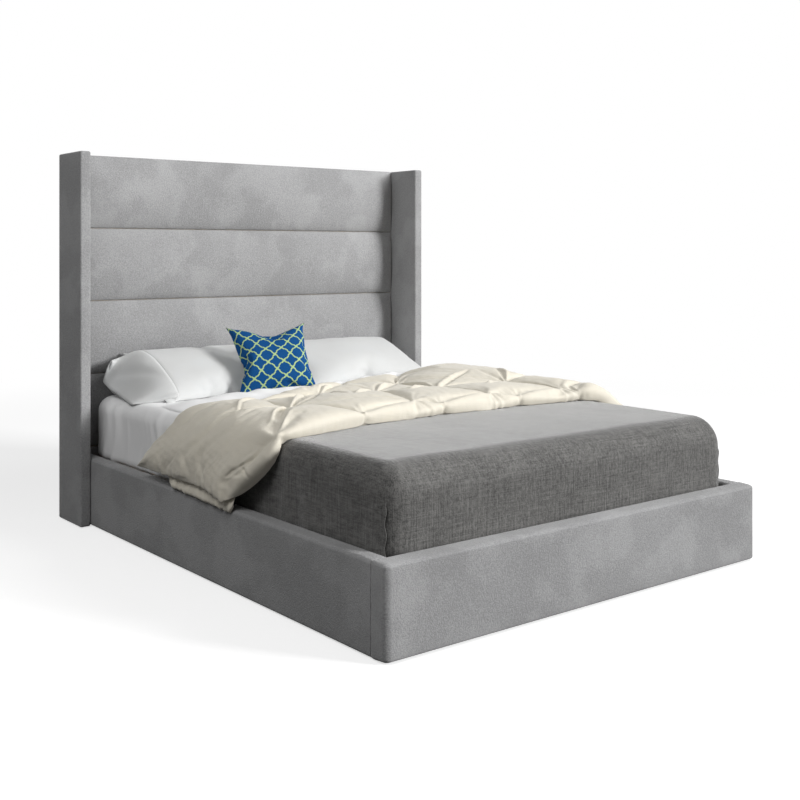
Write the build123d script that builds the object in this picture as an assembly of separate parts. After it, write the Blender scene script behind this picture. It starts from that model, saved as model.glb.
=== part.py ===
from build123d import *
import math
import os

# A king-size upholstered bed with a winged, horizontally channelled headboard, dressed
# with its mattress and bedding.
# Millimetres. The origin is on the floor, at the centre of the bed's footprint.
# +Y runs from the foot to the headboard, +X to the left of someone lying on their back.

# Overall sizes. The bed's length and width come from the mattress that it is made for.
mattress_length = 1990.0
mattress_width = 1500.0
mattress_side_gap = 15.0
mattress_foot_gap = 8.8
base_height = 267.0
headboard_height = 1490.0
floor_gap = 3.0

# Headboard
wing_depth = 224.0
wing_thickness = 44.0
wing_padding = 8.0
wing_edge_radius = 7.0
wing_to_rail = 2.5
back_cloth_thickness = 1.0
batten_depth = 22.0
post_width = 120.0
top_batten_height = 110.0
middle_batten_height = 90.0
bottom_batten_height = 150.0
bottom_batten_low = 60.0
headboard_panel_thickness = 9.0
channel_count = 4
channel_seam_padding = 5.0
channel_crown = 30.0
channel_shoulder_height = 30.0
channel_shoulder_depth_share = 0.78
channel_arc_middle_share = 0.3
channel_end_crown_share = 0.45
channel_end_run = 60.0
channel_seam_gap = 0.6
channels_above_rail = 18.0
top_wrap_thickness = 5.0
lower_pad_thickness = 8.0

# Side rails and foot panel
rail_thickness = 60.0
rail_board_thickness = 35.0
rail_inner_padding = 10.0
rail_top_padding = 12.0
rail_edge_radius = 11.0
foot_thickness = 68.0
foot_board_thickness = 40.0
foot_inner_padding = 10.0
foot_side_padding = 14.0
foot_top_padding = 14.0
foot_corner_radius = 22.0
foot_seam_radius = 5.0
foot_top_radius = 9.0

# Mattress support
slats_below_base_top = 45.0
slat_thickness = 18.0
slat_width = 100.0
slat_count = 12
slat_end_gap = 2.0
slat_edge_radius = 2.5
slat_row_margin = 22.0
cleat_width = 32.0
cleat_height = 42.0
cleat_end_gap = 70.0
centre_rail_width = 45.0
centre_rail_height = 68.0
hanger_thickness = 3.0
hanger_reach = 45.0
hanger_rail_gap = 0.5
leg_count = 3
leg_radius = 16.0
leg_wall = 1.6
leg_plate_side = 70.0
leg_plate_thickness = 3.0
leg_glide_radius = 21.0
leg_glide_height = 10.0
leg_glide_stem_radius = 4.0
leg_glide_stem_length = 22.0
leg_plug_length = 14.0

# Brackets, bolts, screws and glides
bracket_thickness = 3.0
bracket_reach = 58.0
bracket_height = 96.0
bracket_low = 42.0
bolt_head_radius = 7.0
bolt_head_height = 4.5
bolt_shank_radius = 3.9
bolt_length = 30.0
bolt_edge_margin = 22.0
bolt_hole_clearance = 0.2
bolt_tip_gap = 1.0
wing_bolt_count = 4
wing_bolt_margin = 262.0
wing_bolt_length = 150.0
screw_head_radius = 4.2
screw_shank_radius = 2.0
screw_length = 42.0
screw_head_height = 2.6
screw_hole_clearance = 0.1
glide_radius = 12.0
glide_edge_margin = 90.0
rail_glide_count = 4

# Mattress and bedding
mattress_height = 278.0
mattress_top_radius = 44.0
mattress_corner_radius = 62.0
mattress_bottom_radius = 14.0
fitted_sheet_thickness = 1.6
fitted_sheet_skirt = 20.0
blanket_thickness = 3.4
blanket_skirt = 12.0
blanket_length_share = 0.5075
soft_clearance = 0.3

comforter_puff_height = 74.0
comforter_hem_drop = 14.0
comforter_rail_lift = 22.0
comforter_foot_edge_shares = (0.355, 0.328, 0.295, 0.270, 0.272, 0.293, 0.298, 0.312, 0.328, 0.333,
                              0.335, 0.335, 0.334, 0.331, 0.326, 0.318, 0.300, 0.268, 0.262, 0.275,
                              0.300, 0.320)
comforter_head_edge_shares = (0.566, 0.637, 0.612, 0.606, 0.596, 0.582, 0.578, 0.590, 0.605, 0.635,
                              0.665, 0.685, 0.700, 0.715, 0.722, 0.722, 0.718, 0.712, 0.706, 0.700,
                              0.690, 0.680)
comforter_side_height_shares = (0.36, 0.50, 0.72, 0.86, 0.94, 1.0)
comforter_top_section_count = 10
comforter_puff_count = 6
comforter_pinch_share = 0.44
comforter_ridge_share = 0.94
comforter_edge_share = 0.55
comforter_edge_inset_share = 0.42
comforter_edge_bulge_share = 0.16

top_sheet_thickness = 2.0
top_sheet_crest = 34.0
top_sheet_clearance = 6.0
top_sheet_head_edge_shares = (0.735, 0.735, 0.732, 0.724, 0.704, 0.684, 0.708, 0.728, 0.746, 0.755,
                              0.756, 0.756)
top_sheet_crest_shares = (0.55, 0.65, 0.75, 0.85, 0.8, 0.4, 0.5, 0.7, 0.9, 1.0, 1.0, 0.7)

pillow_length_share = 0.49
pillow_width = 470.0
pillow_thickness = 184.0
pillow_gap = 14.0
pillow_lean = 22.0
pillow_seat = 28.0
cushion_side = 342.0
cushion_thickness = 112.0
cushion_lean = 57.0
cushion_centre_from_middle = -160.0
cushion_seat = 12.0
cushion_from_pillow = 0.6
cushion_turn = -24.0
cushion_slide_count = 40
seam_thickness = 9.0
pillow_station_shares = (-0.5, -0.44, -0.28, 0.0, 0.28, 0.44, 0.5)
pillow_width_shares = (1.0, 0.965, 0.94, 0.935, 0.94, 0.965, 1.0)
pillow_crown_shares = (0.0, 0.42, 0.86, 1.0, 0.86, 0.42, 0.0)

# Places worked out from the sizes above
headboard_depth = (back_cloth_thickness + batten_depth + headboard_panel_thickness
                   + channel_seam_padding + channel_crown)
mattress_room = (mattress_foot_gap + mattress_length + fitted_sheet_thickness
                 + 2 * soft_clearance)
bed_length = foot_thickness + mattress_room + headboard_depth
foot_y = -bed_length / 2
back_y = bed_length / 2
rail_inner_x = mattress_width / 2 + mattress_side_gap
rail_outer_x = rail_inner_x + rail_thickness
wing_inner_x = rail_outer_x + wing_to_rail
wing_outer_x = wing_inner_x + wing_thickness
wing_front_y = back_y - wing_depth
foot_inner_y = foot_y + foot_thickness
batten_back_y = back_y - back_cloth_thickness
panel_back_y = batten_back_y - batten_depth
panel_front_y = panel_back_y - headboard_panel_thickness
channel_crest_y = panel_front_y - channel_seam_padding - channel_crown
lower_pad_front_y = panel_front_y - lower_pad_thickness
headboard_half_width = wing_inner_x - channel_seam_gap
batten_top_z = headboard_height - top_wrap_thickness
channels_low_z = base_height + channels_above_rail
channel_pitch = (headboard_height - channels_low_z) / channel_count
slat_top = base_height - slats_below_base_top
slat_underside = slat_top - slat_thickness
mattress_top = slat_top + mattress_height
mattress_foot_y = foot_inner_y + mattress_foot_gap
mattress_head_y = mattress_foot_y + mattress_length
sheet_inner_grow = soft_clearance
sheet_outer_grow = sheet_inner_grow + fitted_sheet_thickness
blanket_inner_grow = sheet_outer_grow + soft_clearance
blanket_outer_grow = blanket_inner_grow + blanket_thickness
sheet_top = mattress_top + sheet_outer_grow
blanket_top = mattress_top + blanket_outer_grow
blanket_side_x = mattress_width / 2 + blanket_outer_grow
blanket_head_y = mattress_foot_y + mattress_length * blanket_length_share
comforter_hem_low = base_height - comforter_hem_drop
pillow_length = mattress_width * pillow_length_share
far = bed_length


def block(x_range, y_range, z_range):
    """A box between two corners, given as three pairs of places."""
    lows = [min(pair) for pair in (x_range, y_range, z_range)]
    highs = [max(pair) for pair in (x_range, y_range, z_range)]
    sizes = [high - low for low, high in zip(lows, highs)]
    centre = [(high + low) / 2 for low, high in zip(lows, highs)]
    return Pos(*centre) * Box(*sizes)


def rod(place, direction, radius, length):
    """A round rod that starts at a place and runs along a direction."""
    return extrude(Plane(origin=place, z_dir=direction) * Circle(radius), amount=length)


def spread(low, high, count):
    """Evenly spaced places from the lowest to the highest."""
    return [low + (high - low) * step / (count - 1) for step in range(count)]


def joined(pieces):
    """Several pieces fused into one solid."""
    whole = pieces[0]
    for piece in pieces[1:]:
        whole = whole + piece
    return whole


def cut_all(body, tools):
    """A body with each tool cut out of it."""
    for tool in tools:
        body = body - tool
    return body


def side_block(side, near_x, far_x, y_range, z_range):
    """A box on one side of the bed, side being 1 for +X and -1 for -X."""
    return block((side * near_x, side * far_x), y_range, z_range)


# Fasteners and their holes
def corner_bolt_places():
    """Each corner bolt's start and direction: four at each corner of the base."""
    places = []
    low_z = bracket_low + bolt_edge_margin
    high_z = bracket_low + bracket_height - bolt_edge_margin
    reach = bracket_reach - bolt_edge_margin
    for side in (-1, 1):
        for end_y, inward in ((foot_inner_y, 1), (lower_pad_front_y, -1)):
            for z in (low_z, high_z):
                rail_face = side * (rail_inner_x - bracket_thickness)
                places.append(((rail_face, end_y + inward * reach, z), (side, 0, 0)))
                end_face = end_y + inward * bracket_thickness
                places.append(((side * (rail_inner_x - reach), end_face, z), (0, -inward, 0)))
    return places


def bolt_with_head(place, direction, shank_length):
    """A bolt whose head sits on a face at its place, with its shank running inward."""
    back = tuple(-part for part in direction)
    head = rod(place, back, bolt_head_radius, bolt_head_height)
    return head + rod(place, direction, bolt_shank_radius, shank_length)


def bolt_hole(place, direction, shank_length):
    """The hole that a bolt's shank runs in."""
    radius = bolt_shank_radius + bolt_hole_clearance
    return rod(place, direction, radius, shank_length + bolt_tip_gap)


def corner_holes():
    """Every hole for the corner bolts."""
    return [bolt_hole(place, way, bolt_length) for place, way in corner_bolt_places()]


def wing_bolt_places():
    """Each wing bolt's start and direction, through a headboard post into a wing."""
    y = batten_back_y - batten_depth / 2
    heights = spread(wing_bolt_margin, headboard_height - wing_bolt_margin, wing_bolt_count)
    inner_x = headboard_half_width - post_width
    return [((side * inner_x, y, z), (side, 0, 0)) for side in (-1, 1) for z in heights]


def wing_holes():
    """Every hole for the wing bolts."""
    return [bolt_hole(place, way, wing_bolt_length) for place, way in wing_bolt_places()]


def slat_centres():
    """Each slat's centre along the bed."""
    first = foot_inner_y + slat_row_margin + slat_width / 2
    last = lower_pad_front_y - slat_row_margin - slat_width / 2
    return spread(first, last, slat_count)


def slat_screw_places():
    """The top of each slat screw, one over each cleat."""
    x = rail_inner_x - cleat_width / 2
    return [(side * x, y, slat_top) for side in (-1, 1) for y in slat_centres()]


def slat_screw(place, grow):
    """A countersunk screw that points down, grown on all sides to make its hole."""
    x, y, z = place
    head_radius = screw_head_radius + grow
    shank_radius = screw_shank_radius + grow
    head = Cone(shank_radius, head_radius, screw_head_height)
    head = Pos(x, y, z - screw_head_height / 2) * head
    return head + rod(place, (0, 0, -1), shank_radius, screw_length + grow)


def slat_screw_holes():
    """Every hole for the slat screws."""
    return [slat_screw(place, screw_hole_clearance) for place in slat_screw_places()]


def glide_places():
    """The centre of each nail-in glide under the base and the wings."""
    rail_x = rail_inner_x + rail_inner_padding + rail_board_thickness / 2
    foot_board_y = foot_inner_y - foot_inner_padding - foot_board_thickness / 2
    wing_x = wing_inner_x + wing_thickness / 2
    along = spread(foot_inner_y + glide_edge_margin, lower_pad_front_y - glide_edge_margin,
                   rail_glide_count)
    across = spread(-rail_inner_x + glide_edge_margin, rail_inner_x - glide_edge_margin,
                    rail_glide_count)
    places = [(side * rail_x, y) for side in (-1, 1) for y in along]
    places += [(x, foot_board_y) for x in across]
    wing_ys = (wing_front_y + wing_depth / 4, back_y - wing_depth / 4)
    places += [(side * wing_x, y) for side in (-1, 1) for y in wing_ys]
    return places


def corner_bolts():
    """The bolts that hold the four corner brackets."""
    return [bolt_with_head(place, way, bolt_length) for place, way in corner_bolt_places()]


def wing_bolts():
    """The bolts that hold the wings to the headboard's posts."""
    return [bolt_with_head(place, way, wing_bolt_length) for place, way in wing_bolt_places()]


def slat_screws():
    """The screws that hold the slats to the cleats."""
    return [slat_screw(place, 0) for place in slat_screw_places()]


def floor_glides():
    """The low round glides that the bed stands on."""
    return [rod((x, y, 0), (0, 0, 1), glide_radius, floor_gap) for x, y in glide_places()]


# Headboard
def headboard_post(side):
    """One upright of the headboard's timber frame."""
    outer_x = headboard_half_width
    post = side_block(side, outer_x - post_width, outer_x, (panel_back_y, batten_back_y),
                      (floor_gap, batten_top_z))
    return cut_all(post, wing_holes() + corner_holes())


def headboard_batten(low_z, high_z):
    """One crosspiece between the two posts."""
    inner_x = headboard_half_width - post_width
    return block((-inner_x, inner_x), (panel_back_y, batten_back_y), (low_z, high_z))


def headboard_panel():
    """The thin board that the padding is glued to."""
    panel = block((-headboard_half_width, headboard_half_width), (panel_front_y, panel_back_y),
                  (floor_gap, batten_top_z))
    return cut_all(panel, corner_holes())


def headboard_back_cloth():
    """The dust cloth stapled over the back."""
    return block((-headboard_half_width, headboard_half_width), (batten_back_y, back_y),
                 (floor_gap, batten_top_z))


def channel_section(x, low_z, high_z, crown):
    """The outline of a padded channel at one place across the bed."""
    seam_y = panel_front_y - channel_seam_padding
    shoulder_y = seam_y - crown * channel_shoulder_depth_share
    crest_y = seam_y - crown
    middle_z = (low_z + high_z) / 2
    low_shoulder = low_z + channel_shoulder_height
    high_shoulder = high_z - channel_shoulder_height
    bend_z = channel_shoulder_height * channel_arc_middle_share
    bend_y = shoulder_y + (seam_y - shoulder_y) * channel_arc_middle_share
    edges = [
        Line((x, panel_front_y, low_z), (x, seam_y, low_z)),
        ThreePointArc((x, seam_y, low_z), (x, bend_y, low_z + bend_z), (x, shoulder_y, low_shoulder)),
        ThreePointArc((x, shoulder_y, low_shoulder), (x, crest_y, middle_z),
                      (x, shoulder_y, high_shoulder)),
        ThreePointArc((x, shoulder_y, high_shoulder), (x, bend_y, high_z - bend_z),
                      (x, seam_y, high_z)),
        Line((x, seam_y, high_z), (x, panel_front_y, high_z)),
        Line((x, panel_front_y, high_z), (x, panel_front_y, low_z)),
    ]
    return make_face(edges)


def headboard_channel(number):
    """One padded channel of the headboard, counted from the bottom."""
    low_z = channels_low_z + channel_pitch * (number - 1) + channel_seam_gap / 2
    high_z = low_z + channel_pitch - channel_seam_gap
    if number == channel_count:
        high_z = headboard_height
    end_x = headboard_half_width
    full_x = end_x - channel_end_run
    end_crown = channel_crown * channel_end_crown_share
    middle = loft([channel_section(x, low_z, high_z, channel_crown) for x in (-full_x, full_x)],
                  ruled=True)
    ends = []
    for side in (-1, 1):
        quarter_x = side * (full_x + end_x) / 2
        quarter_crown = (channel_crown + end_crown) / 2 + (channel_crown - end_crown) / 4
        sections = [
            channel_section(side * full_x, low_z, high_z, channel_crown),
            channel_section(quarter_x, low_z, high_z, quarter_crown),
            channel_section(side * end_x, low_z, high_z, end_crown),
        ]
        ends.append(loft(sections))
    channel = joined([middle] + ends)
    if number == channel_count:
        wrap = block((-end_x, end_x), (panel_front_y, back_y), (batten_top_z, headboard_height))
        channel = channel + wrap
    return channel


def lower_pad():
    """The flat padding behind the mattress, from the floor to the first channel."""
    top_z = channels_low_z - channel_seam_gap / 2
    pad = block((-headboard_half_width, headboard_half_width), (lower_pad_front_y, panel_front_y),
                (floor_gap, top_z))
    return cut_all(pad, corner_holes())


# Wings
def wing_core(side):
    """The timber inside one wing."""
    core = side_block(side, wing_inner_x + wing_padding, wing_outer_x - wing_padding,
                      (wing_front_y + wing_padding, back_y - wing_padding),
                      (floor_gap, headboard_height - wing_padding))
    return cut_all(core, wing_holes())


def wing_cover(side):
    """The padding and cloth around one wing, open at the bottom."""
    outer = side_block(side, wing_inner_x, wing_outer_x, (wing_front_y, back_y),
                       (floor_gap, headboard_height))
    rounded = outer.edges() - outer.edges().group_by(Axis.Z)[0]
    outer = fillet(rounded, wing_edge_radius)
    hollow = side_block(side, wing_inner_x + wing_padding, wing_outer_x - wing_padding,
                        (wing_front_y + wing_padding, back_y - wing_padding),
                        (0, headboard_height - wing_padding))
    return cut_all(outer - hollow, wing_holes())


# Base
def rail_ends():
    """Where a side rail starts at the foot panel and stops at the headboard."""
    return (foot_inner_y, lower_pad_front_y)


def rail_board_x():
    """The inner and outer faces of a side rail's board."""
    inner = rail_inner_x + rail_inner_padding
    return inner, inner + rail_board_thickness


def side_rail_board(side):
    """The timber inside one side rail."""
    inner, outer = rail_board_x()
    board = side_block(side, inner, outer, rail_ends(), (floor_gap, base_height - rail_top_padding))
    return cut_all(board, corner_holes())


def side_rail_cover(side):
    """The padding and cloth around one side rail, open at the bottom and at both ends."""
    outer = side_block(side, rail_inner_x, rail_outer_x, rail_ends(), (floor_gap, base_height))
    top_edges = outer.edges().filter_by(Axis.Y).group_by(Axis.Z)[-1]
    outer = fillet(top_edges, rail_edge_radius)
    board_inner, board_outer = rail_board_x()
    hollow = side_block(side, board_inner, board_outer, rail_ends(),
                        (0, base_height - rail_top_padding))
    return cut_all(outer - hollow, corner_holes())


def foot_board_block(low_z):
    """The space of the foot panel's board, down to a given height."""
    half = rail_outer_x - foot_side_padding
    outer_y = foot_inner_y - foot_inner_padding
    return block((-half, half), (outer_y - foot_board_thickness, outer_y),
                 (low_z, base_height - foot_top_padding))


def foot_board():
    """The timber inside the foot panel."""
    return cut_all(foot_board_block(floor_gap), corner_holes())


def foot_cover():
    """The padding and cloth around the foot panel, with rounded front corners."""
    outer = block((-rail_outer_x, rail_outer_x), (foot_y, foot_inner_y), (floor_gap, base_height))
    upright = outer.edges().filter_by(Axis.Z)
    outer = fillet(upright.group_by(Axis.Y)[0], foot_corner_radius)
    upright = outer.edges().filter_by(Axis.Z)
    outer = fillet(upright.group_by(Axis.Y)[-1], foot_seam_radius)
    outer = fillet(outer.faces().sort_by(Axis.Z)[-1].edges(), foot_top_radius)
    return cut_all(outer - foot_board_block(0), corner_holes())


def corner_bracket(side, end_y, inward):
    """An angle bracket between a side rail and the foot panel or the headboard."""
    heights = (bracket_low, bracket_low + bracket_height)
    along_rail = side_block(side, rail_inner_x - bracket_thickness, rail_inner_x,
                            (end_y, end_y + inward * bracket_reach), heights)
    along_end = side_block(side, rail_inner_x - bracket_reach, rail_inner_x,
                           (end_y, end_y + inward * bracket_thickness), heights)
    return cut_all(along_rail + along_end, corner_holes())


# Mattress support
def side_cleat(side):
    """The ledge that carries the slats on one side rail."""
    ends = (foot_inner_y + cleat_end_gap, lower_pad_front_y - cleat_end_gap)
    cleat = side_block(side, rail_inner_x - cleat_width, rail_inner_x, ends,
                       (slat_underside - cleat_height, slat_underside))
    return cut_all(cleat, slat_screw_holes())


def slat(centre_y):
    """One timber slat across the bed."""
    half = rail_inner_x - slat_end_gap
    board = block((-half, half), (centre_y - slat_width / 2, centre_y + slat_width / 2),
                  (slat_underside, slat_top))
    board = fillet(board.edges().filter_by(Axis.X), slat_edge_radius)
    holes = [slat_screw(place, screw_hole_clearance) for place in slat_screw_places()
             if place[1] == centre_y]
    return cut_all(board, holes)


def centre_rail():
    """The timber under the middle of the slats."""
    ends = (foot_inner_y + hanger_thickness, lower_pad_front_y - hanger_thickness)
    half = centre_rail_width / 2
    return block((-half, half), ends, (slat_underside - centre_rail_height, slat_underside))


def centre_hanger(end_y, inward):
    """The steel shoe that holds one end of the centre rail."""
    inner_half = centre_rail_width / 2 + hanger_rail_gap
    outer_half = inner_half + hanger_thickness
    low_z = slat_underside - centre_rail_height
    shoe = block((-outer_half, outer_half), (end_y, end_y + inward * hanger_reach),
                 (low_z - hanger_thickness, slat_underside))
    pocket = block((-inner_half, inner_half),
                   (end_y + inward * hanger_thickness, end_y + inward * far), (low_z, far))
    return shoe - pocket


def leg_centres():
    """Where the centre legs stand along the bed."""
    step = (lower_pad_front_y - foot_inner_y) / (leg_count + 1)
    return [foot_inner_y + step * (number + 1) for number in range(leg_count)]


def centre_leg(centre_y):
    """A tube leg with its plate under the centre rail and a threaded plug at its foot."""
    top_z = slat_underside - centre_rail_height
    tube_top = top_z - leg_plate_thickness
    half = leg_plate_side / 2
    plate = block((-half, half), (centre_y - half, centre_y + half), (tube_top, top_z))
    tube = rod((0, centre_y, leg_glide_height), (0, 0, 1), leg_radius, tube_top - leg_glide_height)
    hollow = rod((0, centre_y, leg_glide_height + leg_plug_length), (0, 0, 1), leg_radius - leg_wall,
                 tube_top - leg_glide_height - leg_plug_length)
    stem_hole = rod((0, centre_y, 0), (0, 0, 1), leg_glide_stem_radius + bolt_hole_clearance,
                    leg_glide_height + leg_plug_length)
    return plate + (tube - hollow) - stem_hole


def leg_glide(centre_y):
    """A screw-in foot under a centre leg."""
    foot = rod((0, centre_y, 0), (0, 0, 1), leg_glide_radius, leg_glide_height)
    stem = rod((0, centre_y, leg_glide_height), (0, 0, 1), leg_glide_stem_radius,
               leg_glide_stem_length)
    return foot + stem


# Mattress, sheet and blanket
def mattress_shape(grow):
    """The mattress, grown on all sides."""
    half = mattress_width / 2 + grow
    shape = block((-half, half), (mattress_foot_y - grow, mattress_head_y + grow),
                  (slat_top - grow, mattress_top + grow))
    shape = fillet(shape.edges().filter_by(Axis.Z), mattress_corner_radius + grow)
    shape = fillet(shape.faces().sort_by(Axis.Z)[-1].edges(), mattress_top_radius + grow)
    return fillet(shape.faces().sort_by(Axis.Z)[0].edges(), mattress_bottom_radius + grow)


def mattress():
    """The mattress alone."""
    return mattress_shape(0)


def mattress_skin(inner_grow, outer_grow, low_z, head_y):
    """A layer over the mattress, down to a height and up to a place along the bed."""
    skin = mattress_shape(outer_grow) - mattress_shape(inner_grow)
    kept = block((-far, far), (-far, head_y), (low_z, far))
    return skin & kept


def fitted_sheet():
    """The fitted sheet over the whole mattress."""
    return mattress_skin(sheet_inner_grow, sheet_outer_grow, slat_top + fitted_sheet_skirt, far)


def blanket():
    """The tucked blanket over the foot half of the mattress."""
    return mattress_skin(blanket_inner_grow, blanket_outer_grow, slat_top + blanket_skirt,
                         blanket_head_y)


# Comforter
def comforter_half_path():
    """Stations from one hem up to the edge of the mattress: x, z and lean from upright."""
    radius = mattress_top_radius + blanket_outer_grow + soft_clearance
    arc_x = blanket_side_x + soft_clearance - radius
    arc_z = blanket_top + soft_clearance - radius
    hem_x = rail_outer_x + soft_clearance
    bend_z = base_height + comforter_rail_lift
    slope = math.atan2(arc_z - bend_z, hem_x - arc_x - radius)

    def around(lean):
        """A corner of the straight runs that pass just outside the rounded edge."""
        reach = radius / math.cos(slope / 4)
        return (arc_x + reach * math.sin(lean), arc_z + reach * math.cos(lean), lean)

    steep = around(slope * 3 / 4)
    return [
        (hem_x, comforter_hem_low, math.pi / 2),
        (hem_x, bend_z, (math.pi / 2 + slope) / 2),
        ((hem_x + steep[0]) / 2, (bend_z + steep[1]) / 2, slope),
        steep,
        around(slope / 4),
        (arc_x, arc_z + radius, 0),
    ]


def comforter_stations():
    """Every station from the -X hem to the +X hem, with the puff height at each."""
    half = comforter_half_path()
    heights = [comforter_puff_height * share for share in comforter_side_height_shares]
    left = [(-x, z, -lean, height) for (x, z, lean), height in zip(half, heights)]
    right = [(x, z, lean, height) for (x, z, lean), height in zip(half, heights)]
    edge_x, top_z, _ = half[-1]
    inner = spread(-edge_x, edge_x, comforter_top_section_count + 2)[1:-1]
    top = [(x, top_z, 0, comforter_puff_height) for x in inner]
    return left + top + right[::-1]


def comforter_section(station, foot_y_here, head_y_here, pinched):
    """The comforter's outline at one station, with every other knot pinched down by a tuft."""
    x, z, lean, height = station
    outward = (math.sin(lean), math.cos(lean))

    def at(y, rise):
        """A point at a place along the bed, a rise above the inner line."""
        return (x + outward[0] * rise, y, z + outward[1] * rise)

    inset = height * comforter_edge_inset_share
    bulge = height * comforter_edge_bulge_share
    edge_rise = height * comforter_edge_share
    knots = spread(foot_y_here + inset, head_y_here - inset, comforter_puff_count + 1)
    rises = []
    for number in range(len(knots)):
        inside = 0 < number < comforter_puff_count
        is_tuft = inside and number % 2 == pinched
        share = comforter_pinch_share if is_tuft else comforter_ridge_share
        rises.append(height * share)
    edges = [Line(at(head_y_here, 0), at(foot_y_here, 0))]
    edges.append(ThreePointArc(at(foot_y_here, 0), at(foot_y_here - bulge, edge_rise),
                               at(knots[0], rises[0])))
    for number in range(comforter_puff_count):
        middle_y = (knots[number] + knots[number + 1]) / 2
        edges.append(ThreePointArc(at(knots[number], rises[number]), at(middle_y, height),
                                   at(knots[number + 1], rises[number + 1])))
    edges.append(ThreePointArc(at(knots[-1], rises[-1]), at(head_y_here + bulge, edge_rise),
                               at(head_y_here, 0)))
    return make_face(edges)


def comforter():
    """The folded, tufted comforter across the bed, hanging over both side rails."""
    sections = []
    for number, station in enumerate(comforter_stations()):
        foot_here = foot_y + bed_length * comforter_foot_edge_shares[number]
        head_here = foot_y + bed_length * comforter_head_edge_shares[number]
        sections.append(comforter_section(station, foot_here, head_here, number % 2))
    return loft(sections, ruled=True)


# Top sheet, pillows and cushion
def top_sheet_section(x, comforter_edge, head_end, crest):
    """The top sheet's outline at one place across the bed, rising past the comforter."""
    low_z = sheet_top + soft_clearance
    flat_z = low_z + top_sheet_thickness
    start = blanket_head_y + top_sheet_clearance
    crest_y = (comforter_edge + head_end) / 2
    return make_face([
        Line((x, head_end, low_z), (x, start, low_z)),
        Line((x, start, low_z), (x, start, flat_z)),
        Line((x, start, flat_z), (x, comforter_edge, flat_z)),
        ThreePointArc((x, comforter_edge, flat_z), (x, crest_y, low_z + crest),
                      (x, head_end, low_z)),
    ])


def top_sheet():
    """The turned-down top sheet, which puffs up between the comforter and the pillows."""
    flat = [(number, station) for number, station in enumerate(comforter_stations())
            if station[2] == 0]
    sections = []
    for step, (number, (x, _, _, height)) in enumerate(flat):
        edge = foot_y + bed_length * comforter_head_edge_shares[number]
        edge += height * comforter_edge_bulge_share + top_sheet_clearance
        head_end = foot_y + bed_length * top_sheet_head_edge_shares[step]
        crest = top_sheet_crest * top_sheet_crest_shares[step]
        sections.append(top_sheet_section(x, edge, head_end, crest))
    return loft(sections, ruled=True)


def pillow_shape(length, width, thickness):
    """A pillow lying flat, crowned in the middle and drawn in along its sides."""
    sections = []
    for number, share in enumerate(pillow_station_shares):
        x = length * share
        half_width = width * pillow_width_shares[number] / 2
        crown = seam_thickness / 2 + (thickness - seam_thickness) / 2 * pillow_crown_shares[number]
        edges = [
            ThreePointArc((x, -half_width, 0), (x, 0, crown), (x, half_width, 0)),
            ThreePointArc((x, half_width, 0), (x, 0, -crown), (x, -half_width, 0)),
        ]
        sections.append(make_face(edges))
    return loft(sections)


def seated(shape, sink, head_y):
    """A pillow let down onto the sheet, flattened there, with its back at a given place."""
    box = shape.bounding_box()
    shape = Pos(0, head_y - box.max.Y, sheet_top + soft_clearance - sink - box.min.Z) * shape
    above = block((-far, far), (-far, far), (sheet_top + soft_clearance, far))
    return shape & above


def pillow(side):
    """One of the two pillows, leaning on the headboard."""
    shape = Rot(pillow_lean, 0, 0) * pillow_shape(pillow_length, pillow_width, pillow_thickness)
    shape = Pos(side * (pillow_length + pillow_gap) / 2, 0, 0) * shape
    return seated(shape, pillow_seat, channel_crest_y - soft_clearance)


def scatter_cushion(pillows):
    """The square cushion that leans on the pillows."""
    shape = Rot(cushion_lean, 0, 0) * pillow_shape(cushion_side, cushion_side, cushion_thickness)
    shape = Pos(cushion_centre_from_middle, 0, 0) * Rot(0, 0, cushion_turn) * shape
    shape = seated(shape, cushion_seat, 0)
    # The cushion slides towards the headboard until it rests on a pillow.
    for _ in range(cushion_slide_count):
        gap = min(shape.distance_to(one) for one in pillows)
        if gap <= cushion_from_pillow:
            break
        shape = Pos(0, gap - cushion_from_pillow / 2, 0) * shape
    return shape


def two_sided(nodes, name, maker):
    """Add a left and a right node. Left is -X."""
    nodes[name + "_left"] = maker(-1)
    nodes[name + "_right"] = maker(1)


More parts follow.
